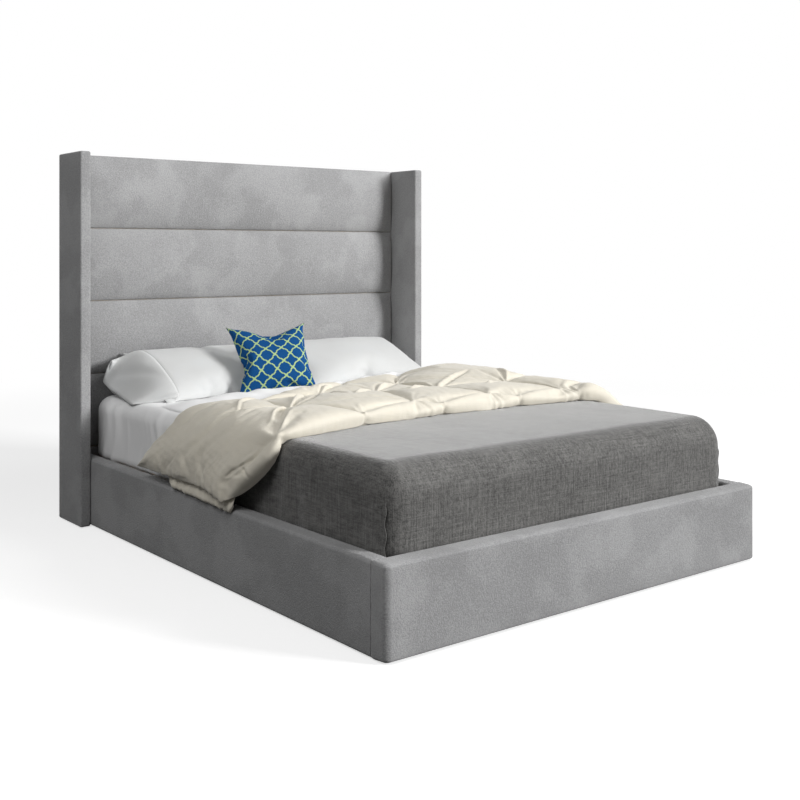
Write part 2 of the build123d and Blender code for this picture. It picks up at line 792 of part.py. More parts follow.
def build():
    """Every node by name."""
    nodes = {}
    two_sided(nodes, "headboard_post", headboard_post)
    nodes["headboard_top_batten"] = headboard_batten(batten_top_z - top_batten_height, batten_top_z)
    middle_z = (batten_top_z + floor_gap) / 2
    nodes["headboard_middle_batten"] = headboard_batten(middle_z - middle_batten_height / 2,
                                                        middle_z + middle_batten_height / 2)
    nodes["headboard_bottom_batten"] = headboard_batten(bottom_batten_low,
                                                        bottom_batten_low + bottom_batten_height)
    nodes["headboard_panel"] = headboard_panel()
    nodes["headboard_back_cloth"] = headboard_back_cloth()
    for number in range(1, channel_count + 1):
        nodes[f"headboard_channel_{number}"] = headboard_channel(number)
    nodes["headboard_lower_pad"] = lower_pad()
    two_sided(nodes, "wing_core", wing_core)
    two_sided(nodes, "wing_cover", wing_cover)
    nodes["wing_bolts"] = wing_bolts()
    two_sided(nodes, "side_rail_board", side_rail_board)
    two_sided(nodes, "side_rail_cover", side_rail_cover)
    nodes["foot_board"] = foot_board()
    nodes["foot_cover"] = foot_cover()
    nodes["head_brackets"] = [corner_bracket(side, lower_pad_front_y, -1) for side in (-1, 1)]
    nodes["foot_brackets"] = [corner_bracket(side, foot_inner_y, 1) for side in (-1, 1)]
    nodes["corner_bolts"] = corner_bolts()
    two_sided(nodes, "side_cleat", side_cleat)
    for number, centre_y in enumerate(slat_centres(), start=1):
        nodes[f"slat_{number:02d}"] = slat(centre_y)
    nodes["slat_screws"] = slat_screws()
    nodes["centre_rail"] = centre_rail()
    nodes["centre_rail_hanger_foot"] = centre_hanger(foot_inner_y, 1)
    nodes["centre_rail_hanger_head"] = centre_hanger(lower_pad_front_y, -1)
    for number, centre_y in enumerate(leg_centres(), start=1):
        nodes[f"centre_leg_{number}"] = centre_leg(centre_y)
    nodes["leg_glides"] = [leg_glide(centre_y) for centre_y in leg_centres()]
    nodes["floor_glides"] = floor_glides()
    nodes["mattress"] = mattress()
    nodes["fitted_sheet"] = fitted_sheet()
    nodes["blanket"] = blanket()
    nodes["comforter"] = comforter()
    nodes["top_sheet"] = top_sheet()
    two_sided(nodes, "pillow", pillow)
    nodes["scatter_cushion"] = scatter_cushion([nodes["pillow_left"], nodes["pillow_right"]])
    return nodes


def write(nodes):
    """Write one file for each node into the parts folder."""
    os.makedirs("parts", exist_ok=True)
    for name, shape in nodes.items():
        pieces = shape if isinstance(shape, list) else [shape]
        solids = [solid for piece in pieces for solid in piece.solids()]
        whole = solids[0] if len(solids) == 1 else Compound(children=solids)
        export_step(whole, f"parts/{name}.step")
        print(f"{name}: {len(solids)} solid(s)")


write(build())
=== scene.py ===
"""Dresses the upholstered bed: cloth, padding, bedding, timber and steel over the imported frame."""

import logging
import math
from dataclasses import dataclass
from enum import Enum
from functools import cached_property
from itertools import combinations
from typing import Callable, Iterable, Optional, Union

import bmesh
import bpy
import numpy as np
from mathutils import Matrix, Vector
from mathutils.bvhtree import BVHTree


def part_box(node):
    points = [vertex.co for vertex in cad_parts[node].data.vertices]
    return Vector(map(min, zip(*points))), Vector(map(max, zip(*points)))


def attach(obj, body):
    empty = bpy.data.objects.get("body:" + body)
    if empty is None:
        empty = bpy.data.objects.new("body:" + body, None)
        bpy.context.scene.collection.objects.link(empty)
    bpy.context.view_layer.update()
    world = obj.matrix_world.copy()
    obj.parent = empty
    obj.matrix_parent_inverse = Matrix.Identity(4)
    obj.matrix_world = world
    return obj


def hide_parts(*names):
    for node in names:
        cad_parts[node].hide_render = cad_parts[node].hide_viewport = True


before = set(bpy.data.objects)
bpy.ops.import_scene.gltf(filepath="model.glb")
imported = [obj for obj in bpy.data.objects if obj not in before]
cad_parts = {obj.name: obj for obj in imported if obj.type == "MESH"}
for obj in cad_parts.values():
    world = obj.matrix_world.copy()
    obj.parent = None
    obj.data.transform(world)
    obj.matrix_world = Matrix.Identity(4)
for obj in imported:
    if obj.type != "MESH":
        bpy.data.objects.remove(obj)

LOG = logging.getLogger("bed")
BODY = "root"
WELD = 1e-5
WHITE = (1.0, 1.0, 1.0, 1.0)
Array = np.ndarray
Thing = bpy.types.Object
Material = bpy.types.Material
Socket = bpy.types.NodeSocket
Value = Union["Signal", float, int]
Colour = Union[tuple, Socket]
Shape = Callable[[Array], Array]


class Side(Enum):
    """The two sides of the bed, by the sign of X."""

    LEFT = -1
    RIGHT = 1

    @property
    def word(self) -> str:
        """The side's word in a node's name."""
        return self.name.lower()


class Grain(Enum):
    """The axis along which a piece of timber's grain runs."""

    X = 0
    Y = 1
    Z = 2


class Signal:
    """A number that varies over a surface. Its operators add Math nodes."""

    def __init__(self, graph: "Graph", socket: Socket) -> None:
        """Keep the socket and the graph that it belongs to."""
        self.graph = graph
        self.socket = socket

    def _math(self, operation: str, *values: Value) -> "Signal":
        """The result of one Math node, with its inputs in order."""
        node = self.graph.node("ShaderNodeMath", {"operation": operation}, dict(enumerate(values)))
        return Signal(self.graph, node.outputs[0])

    def __add__(self, other: Value) -> "Signal":
        """This plus another."""
        return self._math("ADD", self, other)

    __radd__ = __add__

    def __sub__(self, other: Value) -> "Signal":
        """This less another."""
        return self._math("SUBTRACT", self, other)

    def __rsub__(self, other: Value) -> "Signal":
        """Another less this."""
        return self._math("SUBTRACT", other, self)

    def __mul__(self, other: Value) -> "Signal":
        """This times another."""
        return self._math("MULTIPLY", self, other)

    __rmul__ = __mul__

    def __truediv__(self, other: Value) -> "Signal":
        """This over another."""
        return self._math("DIVIDE", self, other)

    def __pow__(self, power: Value) -> "Signal":
        """This raised to a power."""
        return self._math("POWER", self, power)

    def __abs__(self) -> "Signal":
        """This without its sign."""
        return self._math("ABSOLUTE", self)

    def sine(self) -> "Signal":
        """The sine of this."""
        return self._math("SINE", self)

    def highest(self, other: Value) -> "Signal":
        """The higher of this and another."""
        return self._math("MAXIMUM", self, other)

    def fade(self, start: float, end: float, low: float = 0.0, high: float = 1.0) -> "Signal":
        """Move smoothly from one number to another as this goes from start to end.

        Args:
            start: where the change starts.
            end: where it ends.
            low: the number at the start.
            high: the number at the end.

        Returns:
            The eased number, held beyond both ends.
        """
        node = self.graph.node(
            "ShaderNodeMapRange",
            {"interpolation_type": "SMOOTHSTEP"},
            {"Value": self, "From Min": start, "From Max": end, "To Min": low, "To Max": high},
        )
        return Signal(self.graph, node.outputs["Result"])


class Graph:
    """The nodes of a material or of the sky, from its coordinates to its shader."""

    def __init__(self, owner: Union[Material, bpy.types.World]) -> None:
        """Start a new material or sky with nothing in it."""
        self.owner = owner
        self.owner.use_nodes = True
        self.tree = owner.node_tree
        self.tree.nodes.clear()

    def node(self, kind: str, settings: Optional[dict] = None,
             values: Optional[dict] = None) -> bpy.types.Node:
        """Add one node.

        Args:
            kind: the node's type.
            settings: its own options, set first.
            values: a number, colour, socket or Signal for each input, by name or place.

        Returns:
            The node.
        """
        made = self.tree.nodes.new(kind)
        for key, value in (settings or {}).items():
            setattr(made, key, value)
        for key, value in (values or {}).items():
            if isinstance(value, Signal):
                value = value.socket
            if isinstance(value, Socket):
                self.tree.links.new(value, made.inputs[key])
            else:
                made.inputs[key].default_value = value
        return made

    def place(self) -> Socket:
        """The point on the piece, in metres of the shared frame."""
        return self.node("ShaderNodeTexCoord").outputs["Object"]

    def cloth_place(self) -> Socket:
        """The point on the flat cloth, in metres."""
        return self.node("ShaderNodeTexCoord").outputs["UV"]

    def stretched(self, vector: Socket, scale: tuple) -> Socket:
        """A vector times a scale for each axis."""
        node = self.node("ShaderNodeVectorMath", {"operation": "MULTIPLY"}, {0: vector, 1: scale})
        return node.outputs[0]

    def turned(self, vector: Socket, degrees: float) -> Socket:
        """A vector turned about the third axis."""
        node = self.node(
            "ShaderNodeVectorRotate",
            {"rotation_type": "Z_AXIS"},
            {"Vector": vector, "Angle": math.radians(degrees)},
        )
        return node.outputs[0]

    def signals(self, sockets: list) -> list[Signal]:
        """Sockets wrapped so that they can be reckoned with."""
        return [Signal(self, socket) for socket in sockets]

    def parts(self, vector: Socket) -> list[Signal]:
        """The three numbers of a vector."""
        return self.signals(self.node("ShaderNodeSeparateXYZ", values={0: vector}).outputs)

    def noise(self, vector: Socket, scale: Union[float, tuple], detail: float = 2.0,
              rough: float = 0.5) -> Signal:
        """Soft noise around 0.5.

        Args:
            vector: where to read it.
            scale: bumps for each metre, or how many along each axis.
            detail: finer layers.
            rough: the finer layers' share.

        Returns:
            The noise.
        """
        if isinstance(scale, tuple):
            vector, scale = self.stretched(vector, scale), 1.0
        node = self.node(
            "ShaderNodeTexNoise",
            values={"Vector": vector, "Scale": scale, "Detail": detail, "Roughness": rough},
        )
        return Signal(self, node.outputs[0])

    def blend(self, factor: Value, first: Colour, second: Colour) -> Socket:
        """A colour mixed from two, by the second one's share."""
        node = self.node("ShaderNodeMix", {"data_type": "RGBA", "clamp_factor": True},
                         {0: factor, 6: first, 7: second})
        return node.outputs[2]

    def toned(self, colour: tuple, tone: Signal, span: float) -> Socket:
        """A colour made darker and lighter.

        Args:
            colour: red, green and blue.
            tone: a number from 0, darkest, to 1, lightest.
            span: how far the tone moves it, as a share.

        Returns:
            The varied colour.
        """
        dark = opaque(part * (1 - span) for part in colour)
        light = opaque(min(part * (1 + span), 1.0) for part in colour)
        return self.blend(tone, dark, light)

    def bump(self, height: Signal, distance: float, strength: float = 1.0) -> Socket:
        """A Bump node's normal for a height, its distance in metres."""
        node = self.node(
            "ShaderNodeBump", values={"Height": height, "Distance": distance, "Strength": strength}
        )
        return node.outputs[0]

    def finish(self, values: dict) -> Material:
        """Close the material with its shader.

        Args:
            values: what goes into the shader's sockets.

        Returns:
            The material.
        """
        shader = self.node("ShaderNodeBsdfPrincipled", values=values)
        self.node("ShaderNodeOutputMaterial", values={"Surface": shader.outputs[0]})
        return self.owner


def opaque(colour: Iterable[float]) -> tuple:
    """A colour with full cover."""
    return (*colour, 1.0)


@dataclass(frozen=True)
class Finish:
    """What every finish has: its name, its slot in the record and how it is made once."""

    name: str
    slot: str

    def material(self) -> Material:
        """The material that already has the finish's name, or else the finish painted on first use.
        """
        found = bpy.data.materials.get(self.name)
        return found or self.paint(Graph(bpy.data.materials.new(self.name)))

    def paint(self, graph: Graph) -> Material:
        """Draw the finish. Each kind has its own."""
        raise NotImplementedError


@dataclass(frozen=True)
class Plush(Finish):
    """Short-pile upholstery with cloudy marks where the pile has been brushed."""

    colour: tuple = (0.305, 0.305, 0.308)
    cloud: float = 2.7
    fibre: float = 280.0
    tuft: float = 150.0
    span: float = 0.21
    sheen: float = 0.22
    relief: float = 0.0009

    def paint(self, graph: Graph) -> Material:
        """Brushed clouds, fine fibres and a soft sheen."""
        at = graph.place()
        wide = graph.noise(at, self.cloud, 3.0, 0.55)
        patch = graph.noise(at, self.cloud * 1.7, 3.0, 0.5).fade(0.46, 0.58)
        fibre = graph.noise(at, self.fibre, 2.0, 0.75).fade(0.25, 0.75)
        tuft = graph.noise(at, self.tuft, 2.0, 0.7).fade(0.25, 0.75)
        tone = wide.fade(0.25, 0.75) * 0.26 + patch * 0.16 + fibre * 0.34 + tuft * 0.24
        height = fibre * 0.7 + tuft * 0.5
        return graph.finish({
            "Base Color": graph.toned(self.colour, tone.fade(0.15, 0.85), self.span),
            "Roughness": wide.fade(0.3, 0.7, 0.82, 0.95),
            "Sheen Weight": self.sheen,
            "Sheen Roughness": 0.45,
            "Specular IOR Level": 0.25,
            "Normal": graph.bump(height, self.relief),
        })


@dataclass(frozen=True)
class SlubWeave(Finish):
    """A plain weave of uneven light and dark yarn, along all three axes."""

    colour: tuple = (0.108, 0.106, 0.102)
    fine: float = 290.0
    along: float = 9.0
    slub: float = 110.0
    coarse: tuple = (130.0, 34.0, 90.0)
    mottle: tuple = (60.0, 16.0, 40.0)
    contrast: float = 0.62
    sheen: float = 0.72
    relief: float = 0.0032

    def paint(self, graph: Graph) -> Material:
        """Crossing streaks of yarn, with slubs."""
        at = graph.place()
        f, a = self.fine, self.along
        runs = [graph.noise(at, scale, 2.0, 0.6) for scale in ((a, f, f), (f, a, f), (f, f, a))]
        slub = graph.noise(at, self.slub, 3.0, 0.7)
        wide = graph.noise(at, 5.0, 2.0, 0.5)
        coarse = graph.noise(at, self.coarse, 2.0, 0.6)
        mottle = graph.noise(at, self.mottle, 3.0, 0.7)
        tone = runs[0] * 0.22 + runs[1] * 0.22 + runs[2] * 0.28 + slub * 0.16 + coarse * 0.22
        tone = tone + mottle * 0.18 + wide * 0.12 - 0.2
        return graph.finish({
            "Base Color": graph.toned(self.colour, tone.fade(0.34, 0.66), self.contrast),
            "Roughness": slub.fade(0.3, 0.7, 0.75, 0.92),
            "Sheen Weight": self.sheen,
            "Sheen Roughness": 0.35,
            "Specular IOR Level": 0.3,
            "Normal": graph.bump(tone, self.relief),
        })


@dataclass(frozen=True)
class Cotton(Finish):
    """Smooth pale cloth with a fine weave and a few soft creases."""

    colour: tuple = (0.76, 0.76, 0.755)
    weave: float = 520.0
    tint: tuple = (0.96, 0.98, 1.0)
    span: float = 0.035
    sheen: float = 0.1
    rough: float = 0.8
    relief: float = 0.0005

    def paint(self, graph: Graph) -> Material:
        """Threads both ways, with faint uneven tone."""
        at = graph.place()
        w, run = self.weave, self.weave * 0.1
        cross = graph.noise(at, (w, run, w), 1.0)
        along = graph.noise(at, (run, w, w), 1.0)
        soft = graph.noise(at, 9.0, 3.0, 0.5)
        tone = soft.fade(0.3, 0.7) * 0.6 + cross * 0.2 + along * 0.2
        colour = graph.toned(self.colour, tone, self.span)
        tinted = opaque(c * t for c, t in zip(self.colour, self.tint))
        return graph.finish({
            "Base Color": graph.blend(soft.fade(0.4, 0.75, 0.0, 0.35), colour, tinted),
            "Roughness": soft.fade(0.2, 0.8, self.rough - 0.05, self.rough + 0.05),
            "Sheen Weight": self.sheen,
            "Specular IOR Level": 0.3,
            "Normal": graph.bump(cross + along + soft * 1.5, self.relief),
        })


@dataclass(frozen=True)
class Trellis(Finish):
    """Deep blue cloth with a traditional quatrefoil trellis in yellow-green."""

    ground: tuple = (0.006, 0.078, 0.25)
    deep: tuple = (0.003, 0.05, 0.17)
    line: tuple = (0.37, 0.51, 0.235)
    pitch: float = 0.0455
    barb: float = 0.21
    width: float = 0.058
    thread: tuple = (1300.0, 300.0)
    relief: float = 0.0007

    def paint(self, graph: Graph) -> Material:
        """The trellis's lines where a field of waves crosses zero, woven into the cloth."""
        cloth = graph.turned(graph.cloth_place(), 45.0)
        u, v, _ = graph.parts(graph.stretched(cloth, (math.pi / self.pitch,) * 3))
        across, along = u.sine(), v.sine()
        u_square, v_square = across * across, along * along
        barbs = u_square.fade(0.6, 0.9) + v_square.fade(0.6, 0.9)
        value = across * along + barbs * self.barb
        slope = (u_square + v_square - u_square * v_square * 2.0 + 0.02) ** 0.5 * math.pi
        at = graph.cloth_place()
        fine, long = self.thread
        cross = graph.noise(at, (fine, long, 1.0), 1.0)
        thread = graph.noise(at, (long, fine, 1.0), 1.0)
        weave = cross * 0.5 + thread * 0.5
        ragged = abs(value) / slope + (weave - 0.5) * 0.05
        mask = ragged.fade(self.width * 0.8, self.width * 1.25, 1.0, 0.0)
        ground = graph.blend(weave.fade(0.35, 0.65), opaque(self.deep), opaque(self.ground))
        line = graph.toned(self.line, weave.fade(0.3, 0.7), 0.22)
        return graph.finish({
            "Base Color": graph.blend(mask, ground, line),
            "Roughness": weave.fade(0.3, 0.7, 0.75, 0.9),
            "Specular IOR Level": 0.12,
            "Normal": graph.bump(weave + mask * 0.8, self.relief),
        })


@dataclass(frozen=True)
class Ticking(Finish):
    """Knitted mattress ticking with a quilted wave."""

    colour: tuple = (0.78, 0.78, 0.76)
    quilt: float = 42.0
    knit: tuple = (700.0, 260.0, 700.0)
    relief: float = 0.002

    def paint(self, graph: Graph) -> Material:
        """A fine knit over a wide quilted wave."""
        at = graph.place()
        x, y, _ = graph.parts(at)
        quilt = (x * self.quilt + (y * 30.0).sine() * 1.1).sine() * (y * self.quilt).sine()
        knit = graph.noise(at, self.knit, 1.0)
        return graph.finish({
            "Base Color": graph.toned(self.colour, knit * 0.5 + quilt * 0.25 + 0.25, 0.06),
            "Roughness": knit.fade(0.3, 0.7, 0.8, 0.9),
            "Sheen Weight": 0.15,
            "Normal": graph.bump(quilt * 0.8 + knit * 0.1, self.relief),
        })


@dataclass(frozen=True)
class DustCloth(Finish):
    """Thin black spun cloth with pressed dots."""

    colour: tuple = (0.035, 0.035, 0.038)
    dots: float = 1500.0
    relief: float = 0.0005

    def paint(self, graph: Graph) -> Material:
        """Pressed dots over tangled fibre."""
        at = graph.place()
        x, _, z = graph.parts(graph.stretched(at, (self.dots, 1.0, self.dots)))
        dots = x.sine() * z.sine()
        fibre = graph.noise(at, 420.0, 3.0, 0.7)
        return graph.finish({
            "Base Color": graph.toned(self.colour, fibre * 0.7 + dots * 0.15 + 0.15, 0.4),
            "Roughness": fibre.fade(0.3, 0.7, 0.85, 0.97),
            "Normal": graph.bump(fibre + dots * 0.4, self.relief),
        })


@dataclass(frozen=True)
class Timber(Finish):
    """Planed softwood with rings and pores."""

    early: tuple = (0.62, 0.42, 0.22)
    late: tuple = (0.4, 0.23, 0.1)
    grain: Grain = Grain.Y
    rings: float = 900.0
    pore: float = 900.0
    relief: float = 0.0004

    def along_grain(self, across: float, along: float) -> tuple:
        """A scale for each axis, with its own number along the grain."""
        return tuple(along if axis is self.grain else across for axis in Grain)

    def paint(self, graph: Graph) -> Material:
        """Rings drawn out along the grain."""
        at = graph.place()
        drawn = graph.stretched(at, self.along_grain(1.0, 0.06))
        sway = graph.noise(drawn, 9.0, 2.0, 0.5)
        across = graph.parts(drawn)[(self.grain.value + 2) % 3]
        rings = ((across * self.rings + sway * 26.0).sine() * 0.5 + 0.5) ** 2.2
        pores = graph.noise(at, self.along_grain(self.pore, 22.0), 2.0, 0.6)
        tone = graph.noise(at, 7.0, 2.0).fade(0.3, 0.7, 0.0, 0.3)
        mask = rings * 0.55 + tone + pores * 0.15
        return graph.finish({
            "Base Color": graph.blend(mask, opaque(self.early), opaque(self.late)),
            "Roughness": pores.fade(0.3, 0.7, 0.6, 0.78),
            "Specular IOR Level": 0.35,
            "Normal": graph.bump(pores * 0.6 + rings * 0.4, self.relief),
        })


@dataclass(frozen=True)
class Plywood(Finish):
    """Birch plywood with broad pale figure, and plies on its edges."""

    face: tuple = (0.6, 0.44, 0.27)
    ply: tuple = (0.34, 0.21, 0.11)
    plies: float = 2400.0
    relief: float = 0.0003

    def paint(self, graph: Graph) -> Material:
        """Rotary-cut figure, and fine plies across the thickness."""
        at = graph.place()
        x, y, _ = graph.parts(at)
        figure = graph.noise(at, (5.0, 5.0, 34.0), 4.0, 0.6)
        plies = ((x * self.plies).sine() * (y * self.plies).sine() * 0.5 + 0.5) ** 2.0
        fleck = graph.noise(at, (60.0, 60.0, 900.0), 1.0)
        mask = figure.fade(0.3, 0.7, 0.0, 0.45) + plies * 0.12 + fleck * 0.12
        return graph.finish({
            "Base Color": graph.blend(mask, opaque(self.face), opaque(self.ply)),
            "Roughness": fleck.fade(0.3, 0.7, 0.62, 0.75),
            "Specular IOR Level": 0.35,
            "Normal": graph.bump(fleck, self.relief),
        })


@dataclass(frozen=True)
class HardSkin(Finish):
    """Metal or plastic: a fine texture in its relief, and broader marks in its tone."""

    colour: tuple
    span: float
    texture: tuple
    marks: tuple
    shine: tuple
    relief: float
    mark_fade: tuple = (0.3, 0.7)
    texture_shines: bool = False
    metallic: float = 0.0
    coat: Optional[tuple] = None

    def paint(self, graph: Graph) -> Material:
        """Marks in the tone and the shine, and the texture in the relief."""
        at = graph.place()
        texture, marks = graph.noise(at, *self.texture), graph.noise(at, *self.marks)
        shine = texture if self.texture_shines else marks
        values = {
            "Base Color": graph.toned(self.colour, marks.fade(*self.mark_fade), self.span),
            "Metallic": self.metallic,
            "Roughness": shine.fade(0.3, 0.7, *self.shine),
            "Normal": graph.bump(texture, self.relief),
        }
        if self.coat:
            values["Coat Weight"] = marks.fade(0.3, 0.7, *self.coat)
        return graph.finish(values)


PLUSH = Plush("plush_grey", "grey_upholstery")
BLANKET_WEAVE = SlubWeave("slub_weave_grey", "grey_blanket")
WHITE_COTTON = Cotton("white_cotton", "white_cotton")
PILLOW_COTTON = Cotton("pillow_cotton", "white_cotton", colour=(0.575, 0.58, 0.575))
IVORY = Cotton("ivory_sateen", "ivory_comforter", colour=(0.67, 0.63, 0.538), weave=380.0,
               tint=(1.0, 0.985, 0.95), span=0.05, sheen=0.2, rough=0.62)
TRELLIS = Trellis("blue_trellis", "blue_trellis_cloth")
TICKING = Ticking("ticking", "mattress_ticking")
DUST_CLOTH = DustCloth("dust_cloth", "dust_cloth")
PINE = {grain: Timber(f"pine_{grain.name.lower()}", "pine", grain=grain) for grain in Grain}
PLYWOOD = Plywood("plywood", "plywood")
STEEL = HardSkin("black_steel", "bracket_steel", colour=(0.022, 0.022, 0.024), span=0.35,
                 texture=(700.0, 2.0, 0.5), marks=(18.0, 3.0, 0.6), shine=(0.38, 0.55),
                 relief=0.0002, coat=(0.1, 0.25))
ZINC = HardSkin("zinc_plate", "zinc_fasteners", colour=(0.62, 0.62, 0.6), span=0.14,
                texture=(1600.0, 1.0, 0.5), marks=(160.0, 2.0, 0.5), shine=(0.26, 0.44),
                relief=0.0001, texture_shines=True, metallic=1.0)
PLASTIC = HardSkin("black_plastic", "black_plastic", colour=(0.02, 0.02, 0.021), span=0.5,
                   texture=(1200.0, 2.0, 0.6), marks=(60.0, 3.0, 0.7), shine=(0.5, 0.7),
                   relief=0.0002, mark_fade=(0.45, 0.7))


def eased(value: Array) -> Array:
    """A number held from 0 to 1, with soft ends."""
    held = np.clip(value, 0, 1)
    return held * held * (3 - 2 * held)


def rumple(points: Array, size: float, seed: int, count: int = 7) -> Array:
    """Soft, repeatable unevenness.

    Args:
        points: where to read it, in metres, with two or three numbers each.
        size: the usual length of a wave, in metres.
        seed: picks the waves.
        count: how many waves are added up.

    Returns:
        A number for each point, mostly between -1 and 1.
    """
    rng = np.random.default_rng(seed)
    ways = rng.normal(size=(count, points.shape[-1]))
    ways /= np.linalg.norm(ways, axis=1, keepdims=True)
    speeds = 2 * np.pi / (size * rng.uniform(0.7, 1.7, count))
    starts = rng.uniform(0, 2 * np.pi, count)
    waves = np.sin(points @ ways.T * speeds + starts)
    return waves.sum(-1) / math.sqrt(count) * 0.8


@dataclass(frozen=True)
class Ripple:
    """Soft unevenness of one usual length and height, both in metres."""

    size: float
    height: float
    seed: int

    def at(self, *parts: Array) -> Array:
        """Its waves, mostly from -1 to 1, over points or over their separate numbers."""
        return rumple(parts[0] if len(parts) == 1 else together(*parts), self.size, self.seed)

    def over(self, *parts: Array) -> Array:
        """Its waves at their height."""
        return self.at(*parts) * self.height


def together(*parts: Array) -> Array:
    """Separate numbers for each place, put side by side."""
    return np.stack(parts, axis=-1)


def rounded(value: Array) -> Array:
    """The rise of a quarter circle while a number goes from 0 to 1."""
    return np.sqrt(np.clip(1 - (1 - np.clip(value, 0, 1)) ** 2, 0, 1))


def sampled(at: Array, stations: Array, table: Array) -> Array:
    """Each column of a table, read between its stations."""
    return together(*(np.interp(at, stations, column) for column in table.T))


def smoothed(values: Array, reach: int, mirrored: bool = False) -> Array:
    """Average each row of a table with its neighbours.

    Args:
        values: a list of numbers, or a table with a row for each point.
        reach: how many neighbours count on each side.
        mirrored: whether the table runs on through its ends and isn't held there.

    Returns:
        The smoothed values, as many as before.
    """
    bell = np.hanning(2 * reach + 1)
    bell /= bell.sum()
    table = values.reshape(len(values), -1)
    if mirrored:
        before = 2 * table[0] - table[reach:0:-1]
        after = 2 * table[-1] - table[-2:-reach - 2:-1]
        table = np.concatenate([before, table, after])
    else:
        table = np.pad(table, ((reach, reach), (0, 0)), mode="edge")
    return together(*(np.convolve(column, bell, "valid") for column in table.T)).reshape(
        values.shape)


def headings(line: Array) -> Array:
    """The unit direction at each point of a line."""
    way = np.gradient(line, axis=0)
    return way / np.linalg.norm(way, axis=1, keepdims=True)


def spaced(low: float, high: float, cell: float) -> Array:
    """Even places from low to high, about a cell apart."""
    return np.linspace(low, high, max(2, int(round((high - low) / cell)) + 1))


def edge_spaced(low: float, high: float, cell: float, edge: float, steps: int = 5) -> Array:
    """Places from low to high that crowd together at both ends.

    Args:
        low: the first place.
        high: the last place.
        cell: the space between places in the middle.
        edge: how wide the crowded part is at each end.
        steps: how many places it has.

    Returns:
        The places.
    """
    turn = np.tan(np.linspace(0, math.pi / 4, steps + 1))
    inner = spaced(low + edge, high - edge, cell)
    return np.concatenate([low + edge * (1 - turn[::-1]), inner[1:-1], high - edge * (1 - turn)])


def loop_points(mesh: bpy.types.Mesh) -> Array:
    """The point's number at each corner of a mesh's faces."""
    corners = np.zeros(len(mesh.loops), dtype=np.int64)
    mesh.loops.foreach_get("vertex_index", corners)
    return corners


def cloth_mesh(name: str, points: Array, faces: list, flat: Array) -> bpy.types.Mesh:
    """A mesh that keeps its places on the flat cloth.

    Args:
        name: the mesh's name.
        points: its points.
        faces: its faces.
        flat: each point's place on the flat cloth, in metres.

    Returns:
        The mesh.
    """
    mesh = bpy.data.meshes.new(name)
    mesh.from_pydata(points.tolist(), [], faces)
    layer = mesh.uv_layers.new(name="cloth")
    layer.data.foreach_set("uv", flat[loop_points(mesh)].reshape(-1).astype(np.float32))
    return mesh


class Piece:
    """One shown piece: a mesh made of grids, its finish and what it stands for."""

    def __init__(self, name: str, finish: Finish) -> None:
        """Start an empty piece."""
        self.name = name
        self.finish = finish
        self.points: list[Array] = []
        self.faces: list[tuple] = []
        self.cloth: list[Array] = []
        self.count = 0

    def add(self, grid: Array, cloth: Optional[Array] = None, loop: bool = False) -> int:
        """Add a grid of points.

        Args:
            grid: rows by columns by three.
            cloth: flat places in metres for each point, rows by columns by two.
            loop: whether the last column joins the first.

        Returns:
            The number of the grid's first point.
        """
        rows, cols = grid.shape[:2]
        start = self.count
        self.points.append(grid.reshape(-1, 3))
        flat = np.zeros((rows * cols, 2)) if cloth is None else cloth.reshape(-1, 2)
        self.cloth.append(flat)
        last = cols if loop else cols - 1
        for row in range(rows - 1):
            base = start + row * cols
            for col in range(last):
                after = (col + 1) % cols
                low, high = base + col, base + after
                self.faces.append((low, high, high + cols, low + cols))
        self.count += rows * cols
        return start

    def cap(self, first: int, count: int) -> None:
        """Close a loop of points with a fan round their middle."""
        ring = np.concatenate(self.points)[first:first + count]
        self.points.append(ring.mean(0)[None])
        self.cloth.append(np.zeros((1, 2)))
        middle = self.count
        self.count += 1
        for step in range(count):
            self.faces.append((first + step, first + (step + 1) % count, middle))

    def build(self, outward: bool = True) -> Thing:
        """Make the object, with welded edges, outward faces and smooth shading.

        Args:
            outward: whether the faces are turned outward.

        Returns:
            The object, riding on the bed's body.
        """
        mesh = cloth_mesh(self.name, np.concatenate(self.points), self.faces,
                          np.concatenate(self.cloth))
        body = bmesh.new()
        body.from_mesh(mesh)
        bmesh.ops.remove_doubles(body, verts=body.verts, dist=WELD)
        if outward:
            bmesh.ops.recalc_face_normals(body, faces=body.faces)
            centre = sum((v.co for v in body.verts), Vector()) / len(body.verts)
            facing = sum((f.calc_center_median() - centre).dot(f.normal) * f.calc_area()
                         for f in body.faces)
            if facing < 0:
                bmesh.ops.reverse_faces(body, faces=body.faces)
        body.to_mesh(mesh)
        body.free()
        return dress(bpy.data.objects.new(self.name, mesh), self.finish)


def dress(thing: Thing, finish: Finish) -> Thing:
    """Give a new mesh object its place in the scene, its finish and smooth shading.

    Args:
        thing: the object.
        finish: its finish.

    Returns:
        The same object.
    """
    if thing.name not in bpy.context.scene.collection.objects:
        bpy.context.scene.collection.objects.link(thing)
    thing.data.materials.clear()
    thing.data.materials.append(finish.material())
    thing.data.polygons.foreach_set("use_smooth", [True] * len(thing.data.polygons))
    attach(thing, BODY)
    LOG.info("%s: %d faces", thing.name, len(thing.data.polygons))
    return thing


def settled(thing: Thing) -> Thing:
    """Turn an object's modifiers into its mesh."""
    graph = bpy.context.evaluated_depsgraph_get()
    graph.update()
    mesh = bpy.data.meshes.new_from_object(thing.evaluated_get(graph), depsgraph=graph)
    old = thing.data
    thing.modifiers.clear()
    thing.data = mesh
    bpy.data.meshes.remove(old)
    return thing


def thickened(thing: Thing, thickness: float, offset: float = 1.0) -> Thing:
    """Give a sheet its thickness.

    Args:
        thing: the sheet.
        thickness: in metres.
        offset: 1 grows outward, -1 inward and 0 both ways.

    Returns:
        The same object.
    """
    modifier = thing.modifiers.new("thickness", "SOLIDIFY")
    modifier.thickness = thickness
    modifier.offset = offset
    return settled(thing)


